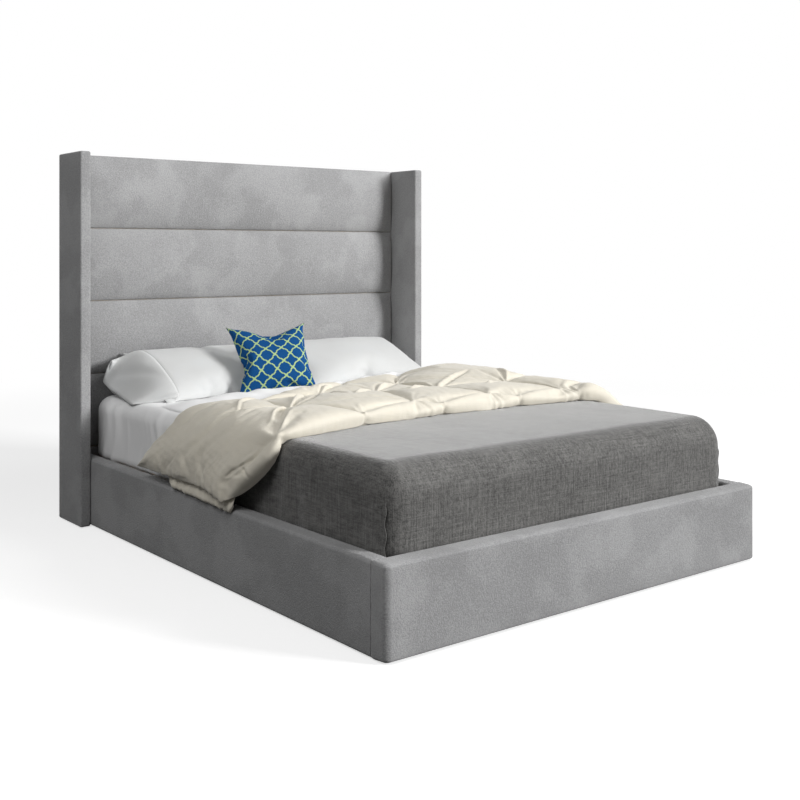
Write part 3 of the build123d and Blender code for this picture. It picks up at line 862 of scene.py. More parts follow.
def joined(things: list[Thing]) -> Thing:
    """Several meshes made into the first one."""
    body = bmesh.new()
    for thing in things:
        body.from_mesh(thing.data)
    body.to_mesh(things[0].data)
    body.free()
    for thing in things[1:]:
        mesh = thing.data
        bpy.data.objects.remove(thing)
        bpy.data.meshes.remove(mesh)
    return things[0]


def coordinates(thing: Thing) -> Array:
    """A mesh's points as an array."""
    flat = np.zeros(len(thing.data.vertices) * 3, np.float32)
    thing.data.vertices.foreach_get("co", flat)
    return flat.reshape(-1, 3).astype(float)


def move_points(thing: Thing, points: Array) -> None:
    """Put a mesh's points at new places."""
    thing.data.vertices.foreach_set("co", points.astype(np.float32).reshape(-1))
    thing.data.update()


def closed_shell(name: str, finish: Finish, upper: Array, lower: Array, cloth: Array) -> Thing:
    """Two grids joined round their shared rim.

    Args:
        name: the piece's name.
        finish: its finish.
        upper: the outer side's points, rows by columns by three.
        lower: the inner side's points, whose rim isn't used.
        cloth: flat places in metres, rows by columns by two.

    Returns:
        The closed piece. The upper side's points come first, row by row.
    """
    rows, cols = upper.shape[:2]
    top = np.arange(rows * cols).reshape(rows, cols)
    under = top.copy()
    under[1:-1, 1:-1] = rows * cols + np.arange((rows - 2) * (cols - 2)).reshape(rows - 2, cols - 2)
    faces = []
    for grid, turned in ((top, False), (under, True)):
        quads = np.stack([grid[:-1, :-1], grid[1:, :-1], grid[1:, 1:], grid[:-1, 1:]], -1)
        quads = quads.reshape(-1, 4)
        faces.append(quads[:, ::-1] if turned else quads)
    points = np.concatenate([upper.reshape(-1, 3), lower[1:-1, 1:-1].reshape(-1, 3)])
    flat = np.concatenate([cloth.reshape(-1, 2), cloth[1:-1, 1:-1].reshape(-1, 2)])
    faces = np.concatenate(faces)
    corners = points[faces]
    spans = np.cross(corners[:, 2] - corners[:, 0], corners[:, 3] - corners[:, 1])
    if (spans * corners.mean(1)).sum() < 0:
        faces = faces[:, ::-1]
    mesh = cloth_mesh(name, points, faces.tolist(), flat)
    return dress(bpy.data.objects.new(name, mesh), finish)


@dataclass
class Swell:
    """A cloth simulation that blows a closed piece up from inside."""

    pressure: float = 6.0
    frames: int = 24
    stiffness: float = 15.0
    bending: float = 0.3
    growth: float = 0.0
    gather: float = 0.4
    damping: float = 6.0
    reach: float = 0.03

    def run(self, thing: Thing, held: Optional[Array] = None,
            drawn: Optional[Array] = None) -> Thing:
        """Simulate, then keep the result as the mesh.

        Args:
            thing: the closed piece.
            held: how firmly each point is pinned, from 0 to 1.
            drawn: how far the cloth is drawn together at each point, from 0 to 1.

        Returns:
            The same object.
        """
        before = coordinates(thing)
        cloth = thing.modifiers.new("swell", "CLOTH")
        for key, value in {
            "quality": 5,
            "mass": 0.3,
            "tension_stiffness": self.stiffness,
            "compression_stiffness": self.stiffness,
            "shear_stiffness": self.stiffness * 0.4,
            "bending_stiffness": self.bending,
            "compression_damping": self.damping,
            "tension_damping": self.damping,
            "air_damping": 2.0,
            "use_pressure": True,
            "uniform_pressure_force": self.pressure,
            "shrink_min": -self.growth,
        }.items():
            setattr(cloth.settings, key, value)
        cloth.settings.effector_weights.gravity = 0.0
        if held is not None:
            cloth.settings.vertex_group_mass = self.group(thing, "held", held)
            cloth.settings.pin_stiffness = 10.0
        if drawn is not None:
            cloth.settings.vertex_group_shrink = self.group(thing, "drawn", drawn)
            cloth.settings.shrink_max = self.gather
        cloth.collision_settings.use_collision = False
        cloth.collision_settings.use_self_collision = False
        cloth.point_cache.frame_start = 1
        cloth.point_cache.frame_end = self.frames
        scene = bpy.context.scene
        for number in range(1, self.frames + 1):
            scene.frame_set(number)
        settled(thing)
        scene.frame_set(1)
        thing.vertex_groups.clear()
        step = coordinates(thing) - before
        length = np.linalg.norm(step, axis=1, keepdims=True)
        LOG.info("%s moved %.1f mm on average, %.1f mm at most", thing.name,
                 length.mean() * 1000, length.max() * 1000)
        move_points(thing, before + step * np.minimum(1, self.reach / np.maximum(length, 1e-9)))
        return thing

    @staticmethod
    def group(thing: Thing, name: str, weights: Array) -> str:
        """Store a weight for each point.

        Args:
            thing: the piece.
            name: the group's name.
            weights: from 0 to 1.

        Returns:
            The group's name.
        """
        group = thing.vertex_groups.new(name=name)
        for number in np.nonzero(weights > 0.001)[0].tolist():
            group.add([number], float(weights[number]), "REPLACE")
        return name


@dataclass
class SoftBox:
    """The skin of a box with rounded edges and corners, as a grid for each side."""

    low: Array
    high: Array
    radii: Shape
    edge: tuple
    cell: float
    open_high_y: bool = False

    def stops(self, axis: int) -> Array:
        """Places along one axis, crowded where the edges are rounded."""
        places = edge_spaced(self.low[axis], self.high[axis], self.cell, self.edge[axis])
        if axis == 1 and self.open_high_y:
            top = self.high[1]
            places = np.concatenate([places[places < top - self.edge[1]],
                                     spaced(top - self.edge[1], top, self.cell)])
        return places

    def wrap(self, points: Array, grow: float = 0.0) -> tuple[Array, Array]:
        """Round a box's surface points.

        Args:
            points: points on the plain box.
            grow: how far to stand off the rounded surface.

        Returns:
            The rounded points and their outward directions.
        """
        r = self.radii(points)
        ceiling = self.high - r
        if self.open_high_y:
            ceiling[..., 1] = self.high[1]
        inner = np.clip(points, self.low + r, ceiling)
        away = (points - inner) / r
        away /= np.maximum(np.linalg.norm(away, axis=-1, keepdims=True), 1e-9)
        out = away / r
        out /= np.maximum(np.linalg.norm(out, axis=-1, keepdims=True), 1e-9)
        return inner + away * r + out * grow, out

    def sides(self, wanted: str = "x- x+ y- y+ z- z+") -> list[Array]:
        """The plain box's surface points for each wanted side."""
        stops = [self.stops(axis) for axis in range(3)]
        made = []
        for word in wanted.split():
            axis = "xyz".index(word[0])
            end = (self.low if word[1] == "-" else self.high)[axis]
            parts = np.meshgrid(*(stops[:axis] + stops[axis + 1:]), indexing="ij")
            made.append(together(*parts[:axis], np.full_like(parts[0], end), *parts[axis:]))
        return made


def constant_radii(rx: float, ry: float, rz: float) -> Shape:
    """The same edge radii everywhere."""
    return lambda points: np.broadcast_to(np.array([rx, ry, rz]), points.shape).copy()


def node_box(node: str) -> tuple[Array, Array]:
    """A CAD node's lowest and highest corners as arrays."""
    low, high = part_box(node)
    return np.array(low), np.array(high)


@dataclass
class PaddedBoard:
    """A padded board: a soft box with a slight crown on each side."""

    name: str
    node: str
    radii: tuple
    crown: float
    fill: float = 0.85
    cell: float = 0.02
    shape: Optional[Shape] = None
    least: float = 0.65
    unevenness: Ripple = Ripple(0.3, 0.35, 11)

    def build(self) -> Thing:
        """Build the padding in its solid's space."""
        low, high = node_box(self.node)
        box = SoftBox(low, high, self.shape or constant_radii(*self.radii), self.radii, self.cell)
        piece = Piece(self.name, PLUSH)
        for grid in box.sides():
            points, out = box.wrap(grid)
            inset = np.sort(np.minimum(points - low, high - points), axis=-1)[..., 1]
            crown = eased(inset / 0.05) * self.crown
            crown *= self.least + self.unevenness.over(points)
            piece.add(points + out * crown[..., None])
        made = piece.build()
        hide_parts(self.node)
        return made


@dataclass
class Hardware:
    """The timber, boards, steel and fasteners, which keep their solids."""

    finishes: tuple = (
        (ZINC, ("wing_bolts", "corner_bolts", "slat_screws")),
        (STEEL, ("head_brackets", "foot_brackets", "centre_rail_hanger", "centre_leg")),
        (PLASTIC, ("leg_glides", "floor_glides")),
        (PLYWOOD, ("headboard_panel", "side_rail_board", "foot_board")),
        (PINE[Grain.Z], ("headboard_post", "wing_core")),
        (PINE[Grain.Y], ("side_cleat", "centre_rail")),
        (PINE[Grain.X], ("headboard_top_batten", "headboard_middle_batten",
                         "headboard_bottom_batten", "slat_")),
    )

    def build(self) -> None:
        """Give each hard node the first finish that lists the start of its name."""
        for name, node in sorted(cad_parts.items()):
            for finish, starts in self.finishes:
                if name.startswith(starts):
                    node.data.materials.clear()
                    node.data.materials.append(finish.material())
                    break
        LOG.info("hard nodes dressed")


@dataclass
class Headboard:
    """The four padded channels, the lower pad and the cloth over the back."""

    channels: int = 4
    cell: float = 0.012
    edge: float = 0.03
    clearance: float = 0.0004
    crown_end_share: float = 0.08
    end_run: float = 0.11
    slit: float = 0.0014
    seam_lip: float = 0.0026
    pucker: float = 0.0011
    pucker_at: float = 0.35
    roll_steps: int = 9
    slack: float = 0.0016
    slack_run: float = 0.08

    def profile(self, low: float, high: float) -> tuple[Array, Array]:
        """A channel's outline from its lower seam to its upper one.

        Args:
            low: the lower seam's height.
            high: the upper seam's height.

        Returns:
            The share of the crown, and the height, at each of its steps.
        """
        turn = np.sin(np.linspace(-math.pi / 2, math.pi / 2, 37))
        share = np.maximum(1 - np.abs(turn) ** 1.9, 0) ** 0.64
        return share, (low + high) / 2 + (high - low) / 2 * turn

    def front(self, number: int, low: Array, high: Array) -> Array:
        """A channel's padded front, with puckers beside its seams.

        Args:
            number: counted from the bottom.
            low: the solid's lowest corner.
            high: its highest corner.

        Returns:
            Its points, across the bed by up the outline by three.
        """
        seam_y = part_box("headboard_panel")[0].y - self.seam_lip
        crown = seam_y - low[1]
        xs = edge_spaced(low[0] + self.clearance, high[0] - self.clearance, self.cell, self.edge)
        upper_slit = 0 if number == self.channels else self.slit
        shares, heights = self.profile(low[2] + self.slit, high[2] - upper_slit)
        gap = np.minimum(xs - xs[0], xs[-1] - xs)
        ends = self.crown_end_share + (1 - self.crown_end_share) * rounded(gap / self.end_run)
        x, s = np.meshgrid(xs, shares, indexing="ij")
        _, z = np.meshgrid(xs, heights, indexing="ij")
        near_seam = np.clip(1 - np.abs(s - self.pucker_at) / self.pucker_at, 0, 1)
        gathers = Ripple(0.028, self.pucker, 40 + number).over(x, z * 0.15)
        soft = Ripple(0.35, 0.015, 60 + number).over(x, z)
        depth = crown * s * ends[:, None] * (0.985 + soft) + near_seam * gathers
        return together(x, seam_y - np.clip(depth, 0, crown), z)

    def channel(self, number: int) -> Thing:
        """One channel, padded out between its seams and drawn in at its ends.

        Args:
            number: counted from the bottom.

        Returns:
            The piece.
        """
        node = f"headboard_channel_{number}"
        low, high = node_box(node)
        front = self.front(number, low, high)
        panel_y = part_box("headboard_panel")[0].y
        seam_y, back_y = panel_y - self.seam_lip, panel_y - self.clearance
        rear_low, rear_high = front[:, :1].copy(), front[:, -1:].copy()
        rear_low[..., 1], rear_low[..., 2] = back_y, low[2]
        if number == self.channels:
            roll = np.linspace(0, 1, self.roll_steps)
            over = front[:, -1:, :] * np.ones((1, self.roll_steps, 1))
            over[..., 1] = seam_y + (float(high[1]) - seam_y) * roll
            over[..., 2] = high[2] - 0.0035 * (1 - np.sin(math.pi * roll) ** 0.5)
            under = over[:, ::-1].copy()
            under[..., 2] = high[2] - 0.005
            inner = under[:, -1:].copy()
            inner[..., 1] = back_y
            under = under[under[..., 1] > back_y].reshape(len(front), -1, 3)
            loop = np.concatenate([front, over[:, 1:], under, inner, rear_low], axis=1)
        else:
            rear_high[..., 1], rear_high[..., 2] = back_y, high[2]
            loop = np.concatenate([front, rear_high, rear_low], axis=1)
        piece = Piece(f"channel_padding_{number}", PLUSH)
        first = piece.add(loop, loop=True)
        for row in (0, len(front) - 1):
            piece.cap(first + row * loop.shape[1], loop.shape[1])
        made = piece.build()
        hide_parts(node)
        return made

    def back_cloth(self) -> Thing:
        """The dust cloth over the back, slack between its staples."""
        low, high = node_box("headboard_back_cloth")
        x, z = np.meshgrid(*(spaced(low[axis], high[axis], 0.02) for axis in (0, 2)), indexing="ij")
        inset = np.minimum(np.minimum(x - low[0], high[0] - x), np.minimum(z - low[2], high[2] - z))
        sag = self.slack * eased(inset / self.slack_run) * (0.6 + Ripple(0.24, 0.4, 5).over(x, z))
        piece = Piece("dust_cloth_back", DUST_CLOTH)
        piece.add(together(x, low[1] + self.clearance + sag, z))
        made = thickened(piece.build(outward=False), 0.0005, 0.0)
        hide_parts("headboard_back_cloth")
        return made

    def build(self) -> None:
        """Build every soft piece of the headboard."""
        for number in range(1, self.channels + 1):
            self.channel(number)
        PaddedBoard("headboard_lower_padding", "headboard_lower_pad", (0.006, 0.005, 0.006),
                    0.001, fill=0.75, cell=0.04).build()
        self.back_cloth()


@dataclass
class Wing:
    """One padded wing beside the headboard."""

    side: Side
    radius: float = 0.0075
    crown: float = 0.0015

    def build(self) -> None:
        """Build the wing's padded cover with its rounded edges."""
        PaddedBoard(f"wing_padding_{self.side.word}", f"wing_cover_{self.side.word}",
                    (self.radius,) * 3, self.crown).build()


@dataclass
class Base:
    """The padded side rails and foot panel."""

    rail_radius: float = 0.012
    butt_radius: float = 0.0012
    butt_edge: float = 0.004
    foot_corner: float = 0.022
    foot_seam: float = 0.005
    foot_top: float = 0.011
    crown: float = 0.0012

    def rail(self, side: Side) -> None:
        """One side rail's cover, round along its length and square where it butts."""
        radius = self.rail_radius
        PaddedBoard(f"side_rail_padding_{side.word}", f"side_rail_cover_{side.word}",
                    (radius, self.butt_edge, radius), self.crown,
                    shape=constant_radii(radius, self.butt_radius, radius)).build()

    def foot(self) -> None:
        """The foot panel's cover, round at its front corners and seamed at the rails."""
        low, high = node_box("foot_cover")

        def radii(points: Array) -> Array:
            """Wide at the front corners, small at the seams."""
            share = eased((points[..., 1] - low[1]) / (high[1] - low[1]))
            level = self.foot_corner + (self.foot_seam - self.foot_corner) * share
            return together(level, level, np.full_like(level, self.foot_top))

        PaddedBoard("foot_panel_padding", "foot_cover",
                    (self.foot_corner, self.foot_corner, self.foot_top), self.crown,
                    shape=radii).build()

    def build(self) -> None:
        """Build the rails and the foot panel."""
        for side in Side:
            self.rail(side)
        self.foot()


@dataclass
class Mattress:
    """The mattress, its fitted sheet and the tucked blanket, as skins over one soft box."""

    corner: float = 0.064
    top_edge: float = 0.056
    cut_edge: float = 1e-4
    foot_sweep: float = 0.03
    cell: float = 0.022
    sheet_thickness: float = 0.0012
    sheet_hem: float = 0.244
    pulls: Ripple = Ripple(0.062, 0.009, 21)
    fine_pulls: Ripple = Ripple(0.026, 0.004, 22)
    sheet_waves: Ripple = Ripple(0.2, 0.002, 23)
    blanket_gap: float = 0.0026
    blanket_thickness: float = 0.0022
    blanket_hem: float = 0.236
    side_swells: Ripple = Ripple(0.11, 0.0032, 31)
    foot_swells: Ripple = Ripple(0.2, 0.0012, 33)
    top_swells: Ripple = Ripple(0.35, 0.001, 32)
    flap_top: float = 0.425
    flap_drop: float = 0.187

    def box(self, low_z: Optional[float] = None, high_y: Optional[float] = None,
            cell: Optional[float] = None) -> SoftBox:
        """The mattress's soft box, or the part of it above a height and up to a place.

        Args:
            low_z: where a skin over it starts.
            high_y: where a skin over it stops.
            cell: the mesh's spacing, if it isn't the mattress's own.

        Returns:
            The box.
        """
        low, high = node_box("mattress")
        base = low[2]
        if low_z is not None:
            low[2] = low_z
        if high_y is not None:
            high[1] = high_y
        corner, top = self.corner, self.top_edge
        bottom = top if low_z is None else self.cut_edge

        def radii(points: Array) -> Array:
            """Corner and top radii, wider along the foot's top edge."""
            y, z = points[..., 1], points[..., 2]
            upper = z > (base + high[2]) / 2
            near_foot = eased((low[1] + 0.34 - y) / 0.2)
            near_top = eased((z - high[2] + 0.12) / 0.1)
            sweep = self.foot_sweep * near_foot
            return together(np.full_like(y, corner), corner + sweep * near_top,
                            np.where(upper, top, bottom) + np.where(upper, sweep, 0))

        return SoftBox(low, high, radii, (corner, corner + self.foot_sweep, top + self.foot_sweep),
                       cell or self.cell, high_y is not None)

    def core(self) -> None:
        """The mattress itself."""
        box = self.box()
        piece = Piece("mattress_ticking_cover", TICKING)
        for grid in box.sides():
            piece.add(box.wrap(grid, -0.0006)[0])
        made = piece.build()
        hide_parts("mattress")

    def fitted_sheet(self) -> None:
        """The fitted sheet, with pulled wrinkles down its sides at the head end."""
        box = self.box(self.sheet_hem, cell=0.0095)
        piece = Piece("fitted_sheet_cloth", WHITE_COTTON)
        for grid in box.sides("x- x+ y- y+ z+"):
            points, out = box.wrap(grid, 0.0008)
            x, y, z = np.moveaxis(points, -1, 0)
            bare = eased((y - 0.1) / 0.12)
            side = eased((box.high[2] + 0.004 - z) / 0.05)
            run = y + 0.16 * (z - 0.4) * np.sin(y * 9) + 0.012 * np.sin(z * 21)
            folds = np.maximum(self.pulls.at(run, x * 0.3), -0.1) ** 2
            fine = np.maximum(self.fine_pulls.at(run, x * 0.3, z * 0.12), 0) ** 1.5
            lift = folds * self.pulls.height + fine * self.fine_pulls.height
            waves = np.maximum(self.sheet_waves.over(x, y), 0)
            piece.add(points + out * (bare * (side * lift + (1 - side) * waves))[..., None])
        made = thickened(piece.build(), self.sheet_thickness)
        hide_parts("fitted_sheet")

    def blanket(self) -> None:
        """The blanket over the foot half, tucked in, with soft folds down its sides."""
        box = self.box(self.blanket_hem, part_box("blanket")[1].y, 0.013)
        piece = Piece("blanket_cloth", BLANKET_WEAVE)
        for grid in box.sides("x- x+ y- z+"):
            points, out = box.wrap(grid, self.blanket_gap)
            x, y, z = np.moveaxis(points, -1, 0)
            down = eased((box.high[2] - 0.01 - z) / 0.16)
            side = eased((np.abs(x) - 0.7) / 0.045)
            lift = sum(share * ripple.height * (0.5 + 0.5 * ripple.at(*parts))
                       for share, ripple, parts in ((down * side, self.side_swells, (y, x)),
                                                    (down * (1 - side), self.foot_swells, (x, y)),
                                                    (1 - down, self.top_swells, (x, y))))
            piece.add(points + out * lift[..., None])
        made = thickened(piece.build(), self.blanket_thickness)
        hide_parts("blanket")
        flaps = [self.corner_flap(side) for side in Side]

    def corner_flap(self, side: Side) -> Thing:
        """The overlapping fold of the blanket at a foot corner, with a wavy selvedge.

        Args:
            side: which corner.

        Returns:
            The piece.
        """
        box = self.box(self.blanket_hem, 0.0)
        a, d = np.meshgrid(np.linspace(0, 1, 26), np.linspace(0, 1, 22), indexing="ij")
        z = self.flap_top - d * self.flap_drop
        reach = 0.03 + 0.2 * (1 - a)
        wavy = 0.0035 * np.sin(d * 17 + 0.6) * eased(d * 3) * a ** 3
        y = box.low[1] + 0.022 + reach * (1 - 0.55 * (1 - d)) * (1 - a) + wavy
        plain = together(np.full_like(y, side.value * box.high[0]), y, z)
        points, out = box.wrap(plain, self.blanket_gap)
        rise = eased(a / 0.4) * eased(d / 0.25)
        lift = -0.0012 + rise * (0.005 + 0.006 * a ** 4)
        piece = Piece(f"blanket_corner_{side.word}", BLANKET_WEAVE)
        piece.add(points + out * lift[..., None])
        return thickened(piece.build(outward=False), 0.0016, 0.0)

    def build(self) -> None:
        """Build the mattress and its skins."""
        self.core()
        self.fitted_sheet()
        self.blanket()


@dataclass(frozen=True)
class Crease:
    """A pinched fold: a crest along a line, with a valley on its left as the line runs."""

    line: tuple
    height: float = 0.009
    width: float = 0.009
    valley: float = 0.7

    def lift(self, flat: Array) -> Array:
        """How far the fold moves the cloth.

        Args:
            flat: places on the flat cloth, from the middle of the bed.

        Returns:
            The move along the cloth's normal at each place.
        """
        points = np.array(self.line)
        fine = np.linspace(0, 1, 41)
        curve = smoothed(sampled(fine, np.linspace(0, 1, len(points)), points), 6, mirrored=True)
        way = headings(curve)
        reach = 4 * self.width + 0.01
        result = np.zeros(len(flat))
        near = np.all((flat > curve.min(0) - reach) & (flat < curve.max(0) + reach), axis=1)
        away = flat[near][:, None, :] - curve[None]
        nearest = np.linalg.norm(away, axis=-1).argmin(1)
        off = away[np.arange(len(nearest)), nearest]
        along = (off * way[nearest]).sum(-1)
        left = way[nearest, 0] * off[:, 1] - way[nearest, 1] * off[:, 0]
        taper = np.sin(math.pi * fine[nearest]) ** 0.6 * np.exp(-(along / self.width) ** 2)
        size = self.width * (0.55 + 0.45 * np.sin(math.pi * fine[nearest]))
        crest = np.exp(-(left / size) ** 2)
        hollow = np.exp(-((left - 1.7 * size) / size) ** 2)
        result[near] = self.height * taper * (crest - self.valley * hollow)
        return result


@dataclass
class Comforter:
    """The folded, tufted comforter: two skins along its drape, joined round their edge."""

    cell: float = 0.0095
    puff: float = 0.075
    hem_low: float = 0.2535
    hem_stand: float = 0.026
    hem_x: float = 0.8262
    hem_straight: float = 0.285
    side_x: float = 0.7585
    bend: float = 0.05
    tuft_depth: float = 0.26
    tuft_width: float = 0.045
    seam_spans: tuple = (0.05, 0.33)
    least: float = 0.006
    tip_run: float = 0.02
    bulge: float = 0.014
    waves: Ripple = Ripple(0.25, 0.0025, 51)
    crinkles: Ripple = Ripple(0.06, 0.0007, 52)
    hanging_folds: Ripple = Ripple(0.12, 0.0035, 53)
    fine_crinkles: tuple = (Ripple(0.035, 0.0005, 54), Ripple(0.019, 0.0002, 56))
    hem_ruffle: Ripple = Ripple(0.038, 0.0022, 55)
    side_stations: tuple = (0, 0.036, 0.115, 0.175, 0.222, 0.262)
    under_hem: tuple = (-0.28, 0.19)
    under_rows: float = 0.16
    under_waves: Ripple = Ripple(0.05, 0.003, 91)
    under_ruffle: Ripple = Ripple(0.036, 0.0034, 92)
    pressure: float = 6.0
    growth: float = 0.035
    bending: float = 0.15
    frames: int = 24
    puff_places: tuple = (0.0, 0.036, 0.115, 0.175, 0.262, 0.5, 0.7)
    puff_shares: tuple = (0.5, 0.54, 0.58, 0.6, 0.58, 0.84, 1.0)
    right_places: tuple = (0, 0.036, 0.115, 0.175, 0.262)
    right_shares: tuple = (0.36, 0.5, 0.72, 0.86, 1.0)
    hem_places: tuple = (-0.279, -0.176, -0.122, -0.067, 0.35)
    hem_lifts: tuple = (0.024, 0.034, 0.04, 0.046, 0.044)
    tufts: tuple = (
        (-0.105, -0.29), (0.255, -0.3), (0.605, -0.325), (-0.468, 0.16),
        (-0.505, -0.1), (-0.22, 0.128), (-0.023, 0.037), (0.234, -0.025), (0.562, -0.067),
        (0.237, 0.235),
    )
    foot_edge: tuple = (-0.245, -0.3, -0.385, -0.43, -0.45, -0.442, -0.431, -0.402, -0.367,
                        -0.357, -0.352, -0.352, -0.355, -0.361, -0.372, -0.389, -0.427, -0.496,
                        -0.508, -0.481, -0.427, -0.384)
    head_edge: tuple = (0.39, 0.375, 0.325, 0.275, 0.245, 0.215, 0.177, 0.192, 0.224, 0.288,
                        0.352, 0.395, 0.427, 0.459, 0.474, 0.474, 0.466, 0.453, 0.44, 0.427,
                        0.406, 0.384)
    foot_gathers: tuple = (-0.742, -0.378, -0.005, 0.363, 0.652)
    head_gathers: tuple = (0.07, 0.415)
    creases: tuple = (
        Crease(((-0.47, 0.147), (-0.542, 0.117), (-0.629, 0.031),
                (-0.72, -0.103)), 0.0075, 0.0068, 0.7),
        Crease(((-0.27, 0.147), (-0.368, 0.059), (-0.495, -0.095)), 0.009, 0.0085, 0.7),
        Crease(((-0.506, -0.102), (-0.56, -0.131), (-0.653, -0.23),
                (-0.735, -0.345)), 0.007, 0.0066, 0.7),
        Crease(((-0.49, 0.077), (-0.517, -0.023), (-0.512, -0.105)), -0.006, 0.009, 0.3),
        Crease(((-0.495, -0.098), (-0.438, -0.083), (-0.351, -0.033),
                (-0.29, 0.027)), -0.007, 0.01, 0.4),
        Crease(((-0.45, 0.172), (-0.37, 0.202), (-0.29, 0.157)), -0.006, 0.009, 0.4),
        Crease(((-0.22, 0.122), (-0.13, 0.229), (-0.038, 0.257))),
        Crease(((-0.217, 0.128), (-0.255, 0.007), (-0.245, -0.093)), -0.007, 0.01, 0.4),
        Crease(((-0.024, 0.036), (-0.124, -0.011), (-0.235, -0.123)), 0.01, 0.009, 0.7),
        Crease(((-0.019, 0.039), (0.079, 0.144), (0.16, 0.212))),
        Crease(((-0.017, 0.042), (-0.005, 0.142), (-0.03, 0.222)), -0.006, 0.01, 0.4),
        Crease(((0.04, 0.317), (0.13, 0.307), (0.225, 0.235)), -0.006, 0.009, 0.5),
        Crease(((0.23, 0.232), (0.315, 0.302), (0.395, 0.352)), 0.008, 0.009, 0.7),
        Crease(((0.24, -0.03), (0.335, 0.029), (0.449, 0.097), (0.54, 0.127)), -0.009, 0.012, 0.6),
        Crease(((0.236, -0.023), (0.27, 0.097), (0.232, 0.229)), 0.008, 0.009, 0.7),
        Crease(((0.235, -0.03), (0.11, -0.053), (0.02, -0.123))),
        Crease(((0.572, -0.067), (0.64, 0.012), (0.67, 0.097)), 0.009, 0.01, 0.7),
        Crease(((0.57, -0.073), (0.46, -0.093), (0.38, -0.163)), 0.008, 0.009, 0.7),
        Crease(((-0.105, -0.28), (-0.098, -0.205), (-0.115, -0.115)), -0.008, 0.012, 0.1),
        Crease(((0.255, -0.29), (0.262, -0.21), (0.245, -0.13)), -0.009, 0.012, 0.1),
        Crease(((0.605, -0.315), (0.598, -0.24), (0.56, -0.15)), -0.008, 0.011, 0.1),
        Crease(((-0.975, 0.192), (-0.945, 0.198), (-0.905, 0.204), (-0.85, 0.19), (-0.76, 0.13),
                (-0.64, 0.09)), -0.005, 0.02, -0.3),
        Crease(((-0.98, -0.012), (-0.945, 0.002), (-0.906, 0.03), (-0.856, -0.004),
                (-0.77, -0.07), (-0.69, -0.09)), -0.0045, 0.017, 0.3),
        Crease(((-0.98, -0.118), (-0.95, -0.1), (-0.915, -0.076), (-0.867, -0.08), (-0.8, -0.13),
                (-0.74, -0.2)), -0.005, 0.017, 0.3),
        Crease(((-0.862, -0.322), (-0.895, -0.285), (-0.925, -0.262)), -0.005, 0.008, 0.5),
        Crease(((-0.858, -0.326), (-0.825, -0.365), (-0.785, -0.385)), -0.005, 0.008, 0.5),
        Crease(((-0.866, -0.318), (-0.88, -0.35), (-0.9, -0.368)), -0.005, 0.007, 0.5),
        Crease(((-0.862, -0.328), (-0.856, -0.32)), -0.007, 0.011, 0),
    )

    def half_path(self) -> Array:
        """The right half of the drape in x and z, from the hem up and in to the middle."""
        top = float(node_box("blanket")[1][2]) + 0.0012
        arc_x, arc_z = self.side_x - self.bend, top - self.bend
        angle = np.linspace(0.12, math.pi / 2, 9)
        arc = together(arc_x + self.bend * np.cos(angle), arc_z + self.bend * np.sin(angle))
        run = [[self.hem_x, self.hem_low], [self.hem_x, self.hem_straight],
               [self.side_x + 0.002, arc_z + 0.006]]
        return np.concatenate([run, arc, [[0.0, top]]])

    @cached_property
    def drape(self) -> tuple[Array, Array, Array]:
        """The whole drape, from the left hem to the right one.

        Returns:
            The distance along it, its points in x and z, and their outward directions.
        """
        half = self.half_path()
        whole = np.concatenate([half * np.array([-1, 1]), half[-2::-1]])
        length = np.concatenate([[0], np.cumsum(np.linalg.norm(np.diff(whole, axis=0), axis=1))])
        fine = np.arange(0, length[-1], 0.002)
        line = smoothed(sampled(fine, length, whole), 8, mirrored=True)
        way = headings(line)
        return fine, line, together(-way[:, 1], way[:, 0])

    @property
    def total(self) -> float:
        """The drape's whole length."""
        return float(self.drape[0][-1])

    def to_hem(self, s: Array) -> Array:
        """How far each distance along the drape is from the nearer hem."""
        return np.minimum(s, self.total - s)

    def edge_at(self, s: Array, edge: tuple) -> Array:
        """An edge's place along the bed, smoothly from its stations.

        Args:
            s: the distance along the drape.
            edge: the edge's place at each station.

        Returns:
            The place for each distance.
        """
        side = np.array(self.side_stations)
        top = np.linspace(side[-1], self.total - side[-1], 12)[1:-1]
        stations = np.concatenate([side, top, self.total - side[::-1]])
        fine = np.linspace(0, self.total, 400)
        return np.interp(s, fine, smoothed(np.interp(fine, stations, edge), 7))

    def thickness(self, s: Array) -> Array:
        """How high the puffs are at each distance along the drape."""
        left = np.interp(s, self.puff_places, self.puff_shares)
        right = np.interp(self.total - s, self.right_places, self.right_shares)
        return self.puff * np.where(self.to_hem(s) == s, left, right)

    @cached_property
    def spots(self) -> Array:
        """Every tuft as a distance along the drape and a place along the bed."""
        middle = self.total / 2
        made = [(middle + x, y) for x, y in self.tufts]
        for edge, gathers, inward in ((self.foot_edge, self.foot_gathers, 0.012),
                                      (self.head_edge, self.head_gathers, -0.02)):
            made += [(middle + x, float(self.edge_at(np.array([middle + x]), edge)[0]) + inward)
                     for x in gathers]
        return np.array(made)

    def stitched(self, flat: Array) -> Array:
        """The shallow valleys between neighbouring tufts, as a height at each place."""
        folds = np.zeros(flat.shape[:-1])
        nearest, farthest = self.seam_spans
        for one, two in combinations(self.spots, 2):
            span = two - one
            gap = float(np.linalg.norm(span))
            if not nearest <= gap <= farthest:
                continue
            along = np.clip(((flat - one) @ span) / gap ** 2, 0, 1)
            off = np.linalg.norm(flat - one - along[..., None] * span, axis=-1)
            depth = 0.25 + 0.75 * np.abs(2 * along - 1) ** 1.5
            folds -= 0.002 * depth * np.exp(-(off / 0.022) ** 1.3)
        return folds

